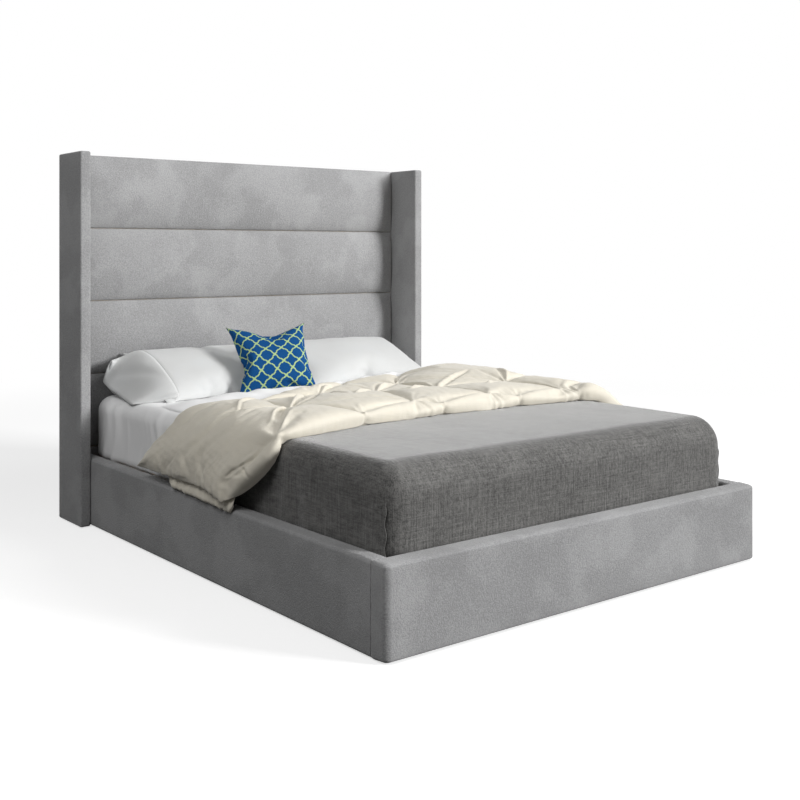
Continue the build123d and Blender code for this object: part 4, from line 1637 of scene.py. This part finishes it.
    def height(self, s: Array, y: Array, share: Array, length: Array) -> Array:
        """The puffed height over the drape.

        Args:
            s: distance along the drape.
            y: place along the bed.
            share: from 0 at the foot edge to 1 at the head edge.
            length: how wide the comforter is there.

        Returns:
            The height at each point.
        """
        full = self.thickness(s) * (1 - 0.2 * eased(share * 1.3))
        flat = together(s, y)
        shape = np.ones_like(s)
        for spot in self.spots:
            distance = np.linalg.norm(flat - spot, axis=-1)
            shape *= 1 - self.tuft_depth * np.exp(-(distance / self.tuft_width) ** 1.2)
        hang = eased((0.3 - self.to_hem(s)) / 0.12)
        soft = self.waves.over(flat) + self.crinkles.over(flat)
        soft += hang * self.hanging_folds.at(y + s * 0.25, s * 0.12) * self.hanging_folds.height
        rim = np.minimum(share, 1 - share) * length
        edge = np.clip(1 - (1 - np.clip(rim / (full * 0.75), 0, 1)) ** 2.3, 0, 1) ** 0.45
        inner = np.minimum(edge, rounded(self.to_hem(s) / self.tip_run))
        stand = self.stand(s)
        raised = full * shape + self.stitched(flat) + soft - stand
        return stand + inner * np.maximum(raised, self.least)

    def on_drape(self, s: Array, y: Array, high: Array) -> Array:
        """Points at a height over the drape."""
        fine, line, out = self.drape
        x, z = np.moveaxis(sampled(s, fine, line) + sampled(s, fine, out) * high[..., None], -1, 0)
        return together(x, y, z)

    def stand(self, s: Array) -> Array:
        """How far the side hems stand off the drape, so that the layer doesn't turn under."""
        return self.hem_stand * eased(1 - self.to_hem(s) / 0.07)

    def hem(self, s: Array, y: Array) -> Array:
        """Lift the upper layer's hem so that the under layer peeps out below it."""
        lift = np.interp(y, self.hem_places, self.hem_lifts)
        near = self.to_hem(s)
        moved = near + lift * (1 - eased(near / 0.22))
        return np.where(s < self.total / 2, moved, self.total - moved)

    def upper_layer(self) -> Thing:
        """The puffed upper layer, swollen between its tufts."""
        s_places = edge_spaced(0, self.total, self.cell, self.tip_run, 4)
        foot = self.edge_at(s_places, self.foot_edge)
        head = self.edge_at(s_places, self.head_edge)
        turn = (1 - np.cos(np.linspace(0, math.pi / 2, 7))) * 0.085
        run = np.linspace(turn[-1], 1 - turn[-1], int(0.62 / self.cell))
        share = np.concatenate([turn, run[1:-1], 1 - turn[::-1]])
        s, t = np.meshgrid(s_places, share, indexing="ij")
        length = (head - foot)[:, None] * np.ones_like(t)
        y = foot[:, None] + length * t
        high = self.height(s, y, t, length)
        bulge = (high - self.stand(s)) / np.maximum(self.thickness(s), 1e-6) * self.bulge
        run_in = 0.05
        shift = bulge * (eased(1 - (1 - t) * length / run_in) - eased(1 - t * length / run_in))
        lowered = self.hem(s, y)
        upper = self.on_drape(lowered, y + shift, high)
        lower = self.on_drape(lowered, y, self.stand(s))
        cloth = together(s, y)
        made = closed_shell("comforter_puffs", IVORY, upper, lower, cloth)
        rim = np.minimum(t, 1 - t) * length
        held, drawn = self.weights(cloth, rim)
        Swell(pressure=self.pressure, growth=self.growth, gather=0.45,
              bending=self.bending, frames=self.frames, reach=0.028).run(
                  made, held, drawn)
        return self.pinched(made)

    def weights(self, cloth: Array, rim: Array) -> tuple[Array, Array]:
        """How firmly the shell is held, and how far it is drawn together.

        Args:
            cloth: flat places, rows by columns by two.
            rim: how far each is from the foot or the head edge.

        Returns:
            Both weights for each point of the shell, from 0 to 1.
        """
        flat = np.concatenate([cloth.reshape(-1, 2), cloth[1:-1, 1:-1].reshape(-1, 2)])
        near, drawn = np.full(len(flat), np.inf), np.zeros(len(flat))
        for number, spot in enumerate(self.spots):
            distance = np.linalg.norm(flat - spot, axis=1)
            near = np.minimum(near, distance)
            wide = 0.024 if number < len(self.tufts) else 0.014
            drawn = np.maximum(drawn, np.exp(-(distance / wide) ** 2))
        held = np.clip(1.6 - near / 0.008, 0, 1)
        under = (rim[1:-1, 1:-1] > 0.03).reshape(-1)
        held[rim.size:] = np.where(under, 1.0, 0.3)
        hanging = eased((0.32 - self.to_hem(flat[:, 0])) / 0.1)
        return held, np.maximum(drawn, 0.07 * hanging)

    def pinched(self, made: Thing) -> Thing:
        """Refine the cloth and raise the pinched folds that run out from each tuft."""
        smooth = made.modifiers.new("finer", "SUBSURF")
        smooth.levels = smooth.render_levels = 1
        settled(made)
        mesh = made.data
        cloth = np.zeros(len(mesh.loops) * 2, np.float32)
        mesh.uv_layers[0].data.foreach_get("uv", cloth)
        flat = np.zeros((len(mesh.vertices), 2))
        flat[loop_points(mesh)] = cloth.reshape(-1, 2)
        out = np.zeros(len(mesh.vertices) * 3, np.float32)
        mesh.vertices.foreach_get("normal", out)
        lift = sum(crinkle.over(flat) for crinkle in self.fine_crinkles)
        near_hem = eased(1 - self.to_hem(flat[:, 0]) / 0.06)
        lift += near_hem * self.hem_ruffle.at(flat[:, 1], flat[:, 1]) * self.hem_ruffle.height
        for crease in self.creases:
            lift += crease.lift(flat - np.array([self.total / 2, 0.0]))
        rng = np.random.default_rng(19)
        for number, spot in enumerate(self.spots):
            lift += self.arms(number, flat - spot, rng)
        move_points(made, coordinates(made) + out.reshape(-1, 3) * lift[:, None])
        return made

    def arms(self, number: int, away: Array, rng: np.random.Generator) -> Array:
        """The short folds that run out from one tuft.

        Args:
            number: the tuft's number.
            away: each place on the flat cloth, from the tuft.
            rng: where the folds' ways, lengths and bends are drawn from, in that order.

        Returns:
            The move along the cloth's normal at each place.
        """
        gathered = number >= len(self.tufts)
        front = number < 3
        distance = np.linalg.norm(away, axis=-1)
        angle = np.arctan2(away[:, 1], away[:, 0])
        lift = np.zeros(len(away))
        for arm in range(6 if gathered or front else 3):
            if gathered:
                way = math.pi / 2 + (arm - 2.5) * 0.42
            elif front:
                way = -math.pi / 2 + (arm - 1.6) * 0.36
            else:
                way = rng.uniform(0, 2 * math.pi)
            way += rng.uniform(-0.12, 0.12)
            along = distance / rng.uniform(0.05, 0.1)
            bend = rng.uniform(-0.35, 0.35)
            off = (angle - way - bend * along + math.pi) % (2 * math.pi) - math.pi
            fade = np.clip(1 - along, 0, 1) ** 0.8 * eased(distance / 0.012)
            width = 0.004 + 0.0045 * along
            crest = np.exp(-(off * distance / width) ** 2)
            crest -= 0.6 * np.exp(-((off * distance - 2 * width) / width) ** 2)
            lift += np.where(np.abs(off) < 1.4, crest, 0) * fade * 0.005
        return lift

    def under_layer(self, side: Side) -> Thing:
        """The folded-under layer, whose ruffled hem shows below the upper one."""
        foot, head = self.under_hem
        rows, cols = spaced(0.0, self.under_rows, 0.008), spaced(foot, head, 0.007)
        s, y = np.meshgrid(rows, cols, indexing="ij")
        ends = eased(np.minimum((cols - foot) / 0.03 + 0.3, (head - cols) / 0.06))[None, :]
        start = (1 - ends) * 0.03 + self.under_waves.height * (1 + self.under_waves.at(y, y))
        start += 0.018 * (y - foot) / (head - foot)
        lowered = start + s * (self.under_rows - start) / self.under_rows
        ruffle = self.under_ruffle.over(y, s * 0.2) * eased(1 - s / 0.08)
        thick = 0.0085 + 0.004 * eased(1 - s / 0.05) + ruffle
        tip = np.maximum(rounded(s / 0.009), 0.25)
        high = np.maximum(thick * tip, 0.003) * (0.35 + 0.65 * ends)
        if side is Side.RIGHT:
            lowered, y = self.total - lowered, y + 0.16
        upper = self.on_drape(lowered, y, high)
        lower = self.on_drape(lowered, y, np.full_like(s, 0.0004))
        return closed_shell(f"comforter_under_{side.word}", IVORY, upper, lower, together(s, y))

    def build(self) -> None:
        """Build the comforter's layers as one piece."""
        made = joined([self.upper_layer()] + [self.under_layer(side) for side in Side])
        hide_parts("comforter")


@dataclass
class TopSheet:
    """The turned-down sheet that puffs up between the comforter and the pillows."""

    crest: float = 0.052
    crest_at: float = 0.72
    inset: float = 0.002
    cell: float = 0.012
    clearance: float = 0.0006
    end_run: float = 0.1
    unevenness: Ripple = Ripple(0.11, 0.1, 71)
    head_edge: tuple = (0.502, 0.502, 0.496, 0.479, 0.436, 0.393, 0.445, 0.487, 0.526, 0.545, 0.547,
                        0.547)
    crests: tuple = (0.35, 0.5, 0.7, 0.8, 0.9, 0.95, 0.95, 0.95, 1.0, 1.0, 1.0, 0.7)

    def build(self) -> None:
        """Build the sheet as a soft roll over the fitted sheet."""
        low, high = node_box("top_sheet")
        comforter, skin = Comforter(), Mattress()
        xs = spaced(float(low[0]) + self.inset, float(high[0]) - self.inset, self.cell)
        stations = np.linspace(low[0], high[0], len(self.crests))
        head = np.interp(xs, stations, self.head_edge)
        crest = np.interp(xs, stations, self.crests) * self.crest
        start = comforter.edge_at(xs + comforter.total / 2, comforter.head_edge) - 0.03
        share = (1 - np.cos(np.linspace(0, math.pi, 19))) / 2
        x, t = np.meshgrid(xs, share, indexing="ij")
        y = start[:, None] + (head - start)[:, None] * t
        rise = np.sin(math.pi / 2 * np.clip(t / self.crest_at, 0, 1)) ** 0.8
        fall = np.clip((t - self.crest_at) / (1 - self.crest_at), 0, 1)
        profile = rise * np.sqrt(np.clip(1 - fall ** 2.2, 0, 1))
        soft = 1 + self.unevenness.over(x, y)
        ends = np.sqrt(eased(np.minimum(xs - xs[0], xs[-1] - xs) / self.end_run + 0.004))
        edge = node_box("mattress")[1][0]
        past = np.clip(np.abs(x) - (edge - skin.corner), 0, skin.corner * 0.95) / skin.corner
        base = float(low[2]) + self.clearance
        floor = base - skin.top_edge * (1 - np.sqrt(1 - past ** 2))
        upper = together(x, y, floor + crest[:, None] * profile * soft * ends[:, None])
        lower = together(x, y, floor)
        piece = Piece("top_sheet_fold", WHITE_COTTON)
        piece.add(upper)
        piece.add(lower[:, ::-1])
        for end in (0, -1):
            piece.add(np.stack([upper[end], lower[end]]))
        for end in (0, -1):
            piece.add(np.stack([upper[:, end], lower[:, end]]))
        made = piece.build()
        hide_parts("top_sheet")


@dataclass
class Stuffed:
    """A stuffed case sewn from two flat sides: a pillow or a cushion."""

    name: str
    node: str
    finish: Finish
    length: float = 0.735
    width: float = 0.47
    thickness: float = 0.184
    lean: float = 22.0
    turn: float = 0.0
    fill: float = 0.8
    cell: float = 0.0125
    pressure: float = 6.0
    frames: int = 30
    bending: float = 0.2
    stiffness: float = 25.0
    reach: float = 0.12
    dog_ear: float = 0.0
    roll: float = 0.0
    rise: float = 0.0
    smoothing: int = 4
    clearance: float = 0.0005
    press: float = 0.014
    seed: int = 1

    def flat_case(self) -> Thing:
        """The case before it is filled, as two layers sewn round their rim."""
        a = spaced(-1, 1, self.cell / self.length * 2)
        b = spaced(-1, 1, self.cell / self.width * 2)
        u, v = np.meshgrid(a, b, indexing="ij")
        pull, domed = ((0.0, 0.45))
        dome = np.maximum((1 - u ** 2) * (1 - v ** 2), 0) ** 0.42
        x = u * self.length / 2 * (1 - pull * (1 - np.abs(v) ** 2.2))
        y = v * self.width / 2 * (1 - pull * 1.6 * (1 - np.abs(u) ** 2.2))
        corner = (np.abs(u) * np.abs(v)) ** 8 * self.dog_ear
        x, y = x * (1 + corner), y * (1 + corner)
        rough = 1 + Ripple(0.13, 0.06, self.seed).over(x, y)
        z = dome * self.thickness / 2 * rough * domed
        cloth = together(u * self.length / 2, v * self.width / 2)
        return closed_shell(self.name, self.finish, together(x, y, z), together(x, y, -z), cloth)

    def filled(self) -> Thing:
        """The case blown up and brought to its outer size."""
        made = self.flat_case()
        Swell(pressure=self.pressure, frames=self.frames, bending=self.bending,
              stiffness=self.stiffness, reach=self.reach).run(made)
        soften = made.modifiers.new("soften", "SMOOTH")
        soften.iterations = self.smoothing
        settled(made)
        points = coordinates(made)
        size = points.max(0) - points.min(0)
        middle = (points.max(0) + points.min(0)) / 2
        LOG.info("%s came out %s mm", self.name, (size * 1000).round())
        wanted = np.array([self.length, self.width, self.thickness])
        move_points(made, (points - middle) * wanted / size)
        return made

    def shaped(self, points: Array) -> Array:
        """Room for a kind of case to bend its filled shape. Plain ones don't."""
        return points

    def build(self) -> Thing:
        """Build, fill, lean and seat the case in its solid's space."""
        low, high = node_box(self.node)
        made = self.filled()
        turn, lean, roll = (Matrix.Rotation(math.radians(angle), 3, axis) for angle, axis in (
            (self.turn, "Z"), (self.lean, "X"), (self.roll, "Z")))
        points = self.shaped(coordinates(made)) @ np.array(turn @ lean @ roll).T
        points[:, 0] += (low[0] + high[0]) / 2
        points[:, 1] += high[1] - points[:, 1].max() - self.clearance
        points[:, 2] += high[2] + self.rise - points[:, 2].max()
        floor = low[2] + self.clearance
        over = points[:, 2] - floor
        pressed = self.press * np.exp((over - self.press) / self.press) * 0.999
        points[:, 2] = floor + np.where(over > self.press, over, pressed)
        move_points(made, points)
        self.trimmed(made)
        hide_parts(self.node)
        return made

    def trimmed(self, made: Thing) -> Thing:
        """Room for a kind of case to add its trimming. Plain ones have none."""
        return made


@dataclass
class OpenPillow(Stuffed):
    """A pillow whose case runs past it at one end, into an open, drooping mouth."""

    mouth: tuple = (
        (1.0, -0.7, 0.935, 0.648), (0.75, -0.716, 0.95, 0.607), (0.45, -0.735, 0.946, 0.556),
        (0.15, -0.735, 0.885, 0.53), (-0.15, -0.728, 0.815, 0.515), (-0.45, -0.734, 0.735, 0.502),
        (-0.75, -0.744, 0.662, 0.49), (-1.0, -0.672, 0.618, 0.505),
    )

    steps: int = 49
    drawn_in: float = 0.055
    root: float = 0.11
    slope_run: float = 0.016
    loops: int = 17
    bed_edge: float = -0.705
    fold: Ripple = Ripple(0.16, 0.002, 15)

    def shaped(self, points: Array) -> Array:
        """Draw the stuffing in from the open end."""
        share = (points[:, 0] + self.length / 2) / self.length
        points[:, 0] += self.drawn_in * (1 - share)
        return points

    @staticmethod
    def outline(made: Thing, place: float, order: Array) -> tuple[Array, Array]:
        """The body's top and bottom where it is cut across.

        Args:
            made: the body.
            place: the cut's place along the pillow.
            order: places across it.

        Returns:
            The highest and the lowest point at each place.
        """
        tree = BVHTree.FromPolygons([tuple(point) for point in coordinates(made)],
                                    [tuple(face.vertices) for face in made.data.polygons])
        found = []
        for side in (1.0, -1.0):
            hits = [tree.ray_cast(Vector((place, float(y), 2.0 * side)), Vector((0, 0, -side)))[0]
                    for y in order]
            known = [number for number, hit in enumerate(hits) if hit]
            found.append(np.interp(np.arange(len(order)), known, [hits[n].z for n in known]))
        return found[0], found[1]

    def rim(self, across: Array) -> Array:
        """The mouth's line, from its stations, at places across it from 1 to -1."""
        stops = np.array(self.mouth)[::-1]
        line = sampled(across, stops[:, 0], stops[:, 1:])
        return line * 0.35 + smoothed(line, 4) * 0.65

    def trimmed(self, made: Thing) -> Thing:
        """Add the sleeve from the stuffed end to the mouth.

        Args:
            made: the stuffed body.

        Returns:
            The same object with its sleeve.
        """
        points = coordinates(made)
        across = np.linspace(1, -1, self.steps)
        rim = self.rim(across)
        root_x = float(points[:, 0].min()) + self.root
        section = points[np.abs(points[:, 0] - root_x) < 0.014]
        order = np.linspace(section[:, 1].max(), section[:, 1].min(), self.steps)
        slope = math.tan(math.radians(self.lean))
        tops, lows = self.outline(made, root_x, order)
        inner_tops, _ = self.outline(made, root_x + self.slope_run, order)
        falls = np.clip((tops - inner_tops) / self.slope_run, -0.5, 0.05)
        beyond = np.clip(root_x - points[:, 0], 0, None)
        middle = points[:, 1] * slope + float(np.mean((tops + lows) / 2 - order * slope))
        squeeze = 1 - 0.75 * eased(beyond / 0.035)
        drawn = beyond > 0
        points[drawn, 2] = (middle + (points[:, 2] - middle) * squeeze)[drawn]
        points[drawn, 0] = root_x - beyond[drawn] * 0.5
        move_points(made, points)
        ones, none = np.ones(self.steps), np.zeros(self.steps)
        root_top = together(ones * root_x, order, tops - 0.0007)
        root_low = together(ones * root_x, order, lows + 0.004)
        gape = 0.01 * np.clip(1 - across ** 2, 0, 1) ** 0.5
        rim_top = rim + together(none, none, gape * 0.6)
        rim_low = rim + together(gape * 1.1, -gape * slope, -gape * 0.8)
        lead = together(-ones, none, falls) * (root_x - rim[:, 0])[:, None]
        loops = []
        for share in np.linspace(0, 1, self.loops):
            ease = share ** 1.15
            top = root_top * (1 - share) ** 2 * (1 + 2 * share)
            top = top + rim_top * share ** 2 * (3 - 2 * share)
            top += (lead * (1 - share) + (root_top - rim_top) * share) * share * (1 - share)
            top[:, 2] += self.ruck(across, share) * np.clip(1 - across ** 4, 0, 1)
            low = root_low * (1 - ease) + rim_low * ease
            loops.append(np.concatenate([top, low[::-1][1:-1]]))
        sleeve = np.array(loops)
        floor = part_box(self.node)[0].z + 0.0012
        held = np.maximum(sleeve[..., 2], floor)
        sleeve[..., 2] = np.where(sleeve[..., 0] > self.bed_edge, held, sleeve[..., 2])
        piece = Piece(f"{self.name}_sleeve", self.finish)
        piece.add(sleeve, loop=True)
        return joined([made, thickened(piece.build(outward=False), 0.0016, 0.0)])

    def ruck(self, across: Array, share: float) -> Array:
        """The sleeve's loose folds.

        Args:
            across: places across the sleeve, from 1 to -1.
            share: from 0 at the stuffing to 1 at the mouth.

        Returns:
            The height at each place.
        """
        line = across + 0.6 - 1.3 * share
        sink = 0.006 * np.exp(-(line / 0.15) ** 2) - 0.003 * np.exp(-((line - 0.35) / 0.2) ** 2)
        crease = np.sin(across * 5.5 + share * 2.2) * 0.0016 - sink
        fold = self.fold.over(across * 0.4, np.full_like(across, share * 0.08))
        return crease * math.sin(share * math.pi) + fold * share


@dataclass
class Cushion(Stuffed):
    """A square cushion with pointed corners and a dent in its top edge."""

    dent: float = 0.026
    slump: float = 0.065
    dent_at: float = 0.02
    dent_width: float = 0.085

    def shaped(self, points: Array) -> Array:
        """Push the middle of the top edge down."""
        up = eased((points[:, 1] / (self.width / 2) + 0.1) / 1.1)
        near = np.exp(-((points[:, 0] - self.dent_at) / self.dent_width) ** 2)
        points[:, 1] -= self.dent * up * near + self.slump * points[:, 0] * up
        points[:, 2] *= 1 - 0.35 * up * near
        return points


@dataclass
class Studio:
    """The camera, floor, backdrop and lamps."""

    camera_place: tuple = (-2.6197, -3.398, 1.0932)
    azimuth: float = -38.33
    lens: float = 50.38
    shift_y: float = -0.186
    key_power: float = 4200.0
    key_place: tuple = (10.6, -15.6, 6.2)
    key_size: float = 5.0
    head_power: float = 62.0
    head_place: tuple = (2.5, -1.2, 3.8)
    left_power: float = 90.0
    left_place: tuple = (-3.6, -1.4, 4.1)
    sky: float = 0.15
    floor_reach: tuple = (2.6, 6.0)
    floor_tones: tuple = (0.1, 0.62)

    @staticmethod
    def hung(name: str, data: bpy.types.ID, place: tuple = (0.0, 0.0, 0.0)) -> Thing:
        """Put a camera, lamp or floor into the scene."""
        thing = bpy.data.objects.new(name, data)
        thing.location = place
        bpy.context.scene.collection.objects.link(thing)
        return thing

    def camera(self) -> None:
        """The photo's own view."""
        lens = bpy.data.cameras.new("camera")
        lens.lens = self.lens
        lens.sensor_width = 36.0
        lens.shift_y = self.shift_y
        lens.clip_end = 60
        camera = self.hung("camera", lens, self.camera_place)
        camera.rotation_euler = (math.radians(90), 0, math.radians(self.azimuth))
        bpy.context.scene.camera = camera

    def lamp(self, name: str, place: tuple, size: float, power: float, aim: tuple) -> None:
        """One soft lamp.

        Args:
            name: its name.
            place: where it hangs.
            size: its side in metres.
            power: in watts.
            aim: the point that it faces.
        """
        light = bpy.data.lights.new(name, "AREA")
        light.size = size
        light.energy = power
        way = Vector(aim) - Vector(place)
        self.hung(name, light, place).rotation_euler = way.to_track_quat("-Z", "Y").to_euler()

    def floor(self) -> None:
        """A pale floor that keeps the bed's shadow and is white to the camera."""
        graph = Graph(bpy.data.materials.new("floor"))
        seen = graph.node("ShaderNodeLightPath").outputs["Is Camera Ray"]
        reach = graph.node("ShaderNodeVectorMath", {"operation": "LENGTH"}, {0: graph.place()})
        distant = Signal(graph, reach.outputs["Value"]).fade(*self.floor_reach)
        dull, pale = (graph.node("ShaderNodeBsdfDiffuse", values={"Color": opaque((tone,) * 3)})
                      for tone in self.floor_tones)
        glow, white = (graph.node("ShaderNodeEmission", values={"Color": WHITE, "Strength": power})
                       for power in (0.62, 1.0))
        lit = graph.node("ShaderNodeAddShader", values={0: pale.outputs[0], 1: glow.outputs[0]})
        shown = graph.node("ShaderNodeMixShader",
                           values={0: distant, 1: lit.outputs[0], 2: white.outputs[0]})
        mixed = graph.node("ShaderNodeMixShader",
                           values={0: seen, 1: dull.outputs[0], 2: shown.outputs[0]})
        graph.node("ShaderNodeOutputMaterial", values={"Surface": mixed.outputs[0]})
        size = 30.0
        mesh = bpy.data.meshes.new("floor")
        mesh.from_pydata([(-size, -size, 0), (size, -size, 0), (size, size, 0), (-size, size, 0)],
                         [], [(0, 1, 2, 3)])
        mesh.materials.append(graph.owner)
        self.hung("floor", mesh)

    def world(self) -> None:
        """White behind the bed, and a dim even sky for its light."""
        graph = Graph(bpy.data.worlds.new("studio"))
        path = graph.node("ShaderNodeLightPath").outputs
        seen, glossy, through = graph.signals([path[f"Is {kind} Ray"] for kind in (
            "Camera", "Glossy", "Transmission")])
        sky, white = (graph.node("ShaderNodeBackground", values={"Color": WHITE, "Strength": power})
                      for power in (self.sky, 1.0))
        mix = graph.node("ShaderNodeMixShader", values={
            0: seen.highest(glossy).highest(through), 1: sky.outputs[0], 2: white.outputs[0]})
        graph.node("ShaderNodeOutputWorld", values={"Surface": mix.outputs[0]})
        bpy.context.scene.world = graph.owner

    def build(self) -> None:
        """Set the studio up."""
        bpy.context.scene.view_settings.view_transform = "Standard"
        self.camera()
        self.floor()
        self.world()
        self.lamp("key", self.key_place, self.key_size, self.key_power, (0.0, 0.0, 0.5))
        self.lamp("head", self.head_place, 1.6, self.head_power, (0.0, 1.0, 1.3))
        self.lamp("left", self.left_place, 2.4, self.left_power, (-0.4, 0.0, 0.4))
        LOG.info("studio ready")


def main() -> None:
    """Build the bed's looks in order."""
    logging.basicConfig(level=logging.INFO, format="%(message)s")
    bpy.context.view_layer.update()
    Studio().build()
    Hardware().build()
    Headboard().build()
    for side in Side:
        Wing(side).build()
    Base().build()
    Mattress().build()
    Comforter().build()
    TopSheet().build()
    OpenPillow("pillow_case_left", "pillow_left", PILLOW_COTTON, seed=3).build()
    Stuffed("pillow_case_right", "pillow_right", PILLOW_COTTON, smoothing=16, seed=8).build()
    Cushion("cushion_trellis", "scatter_cushion", TRELLIS, 0.342, 0.342, 0.112, lean=57.0,
            turn=-24.0, fill=0.75, cell=0.008, dog_ear=0.03, roll=6.0, rise=0.014, smoothing=0,
            seed=5).build()


if __name__ == "__main__":
    main()
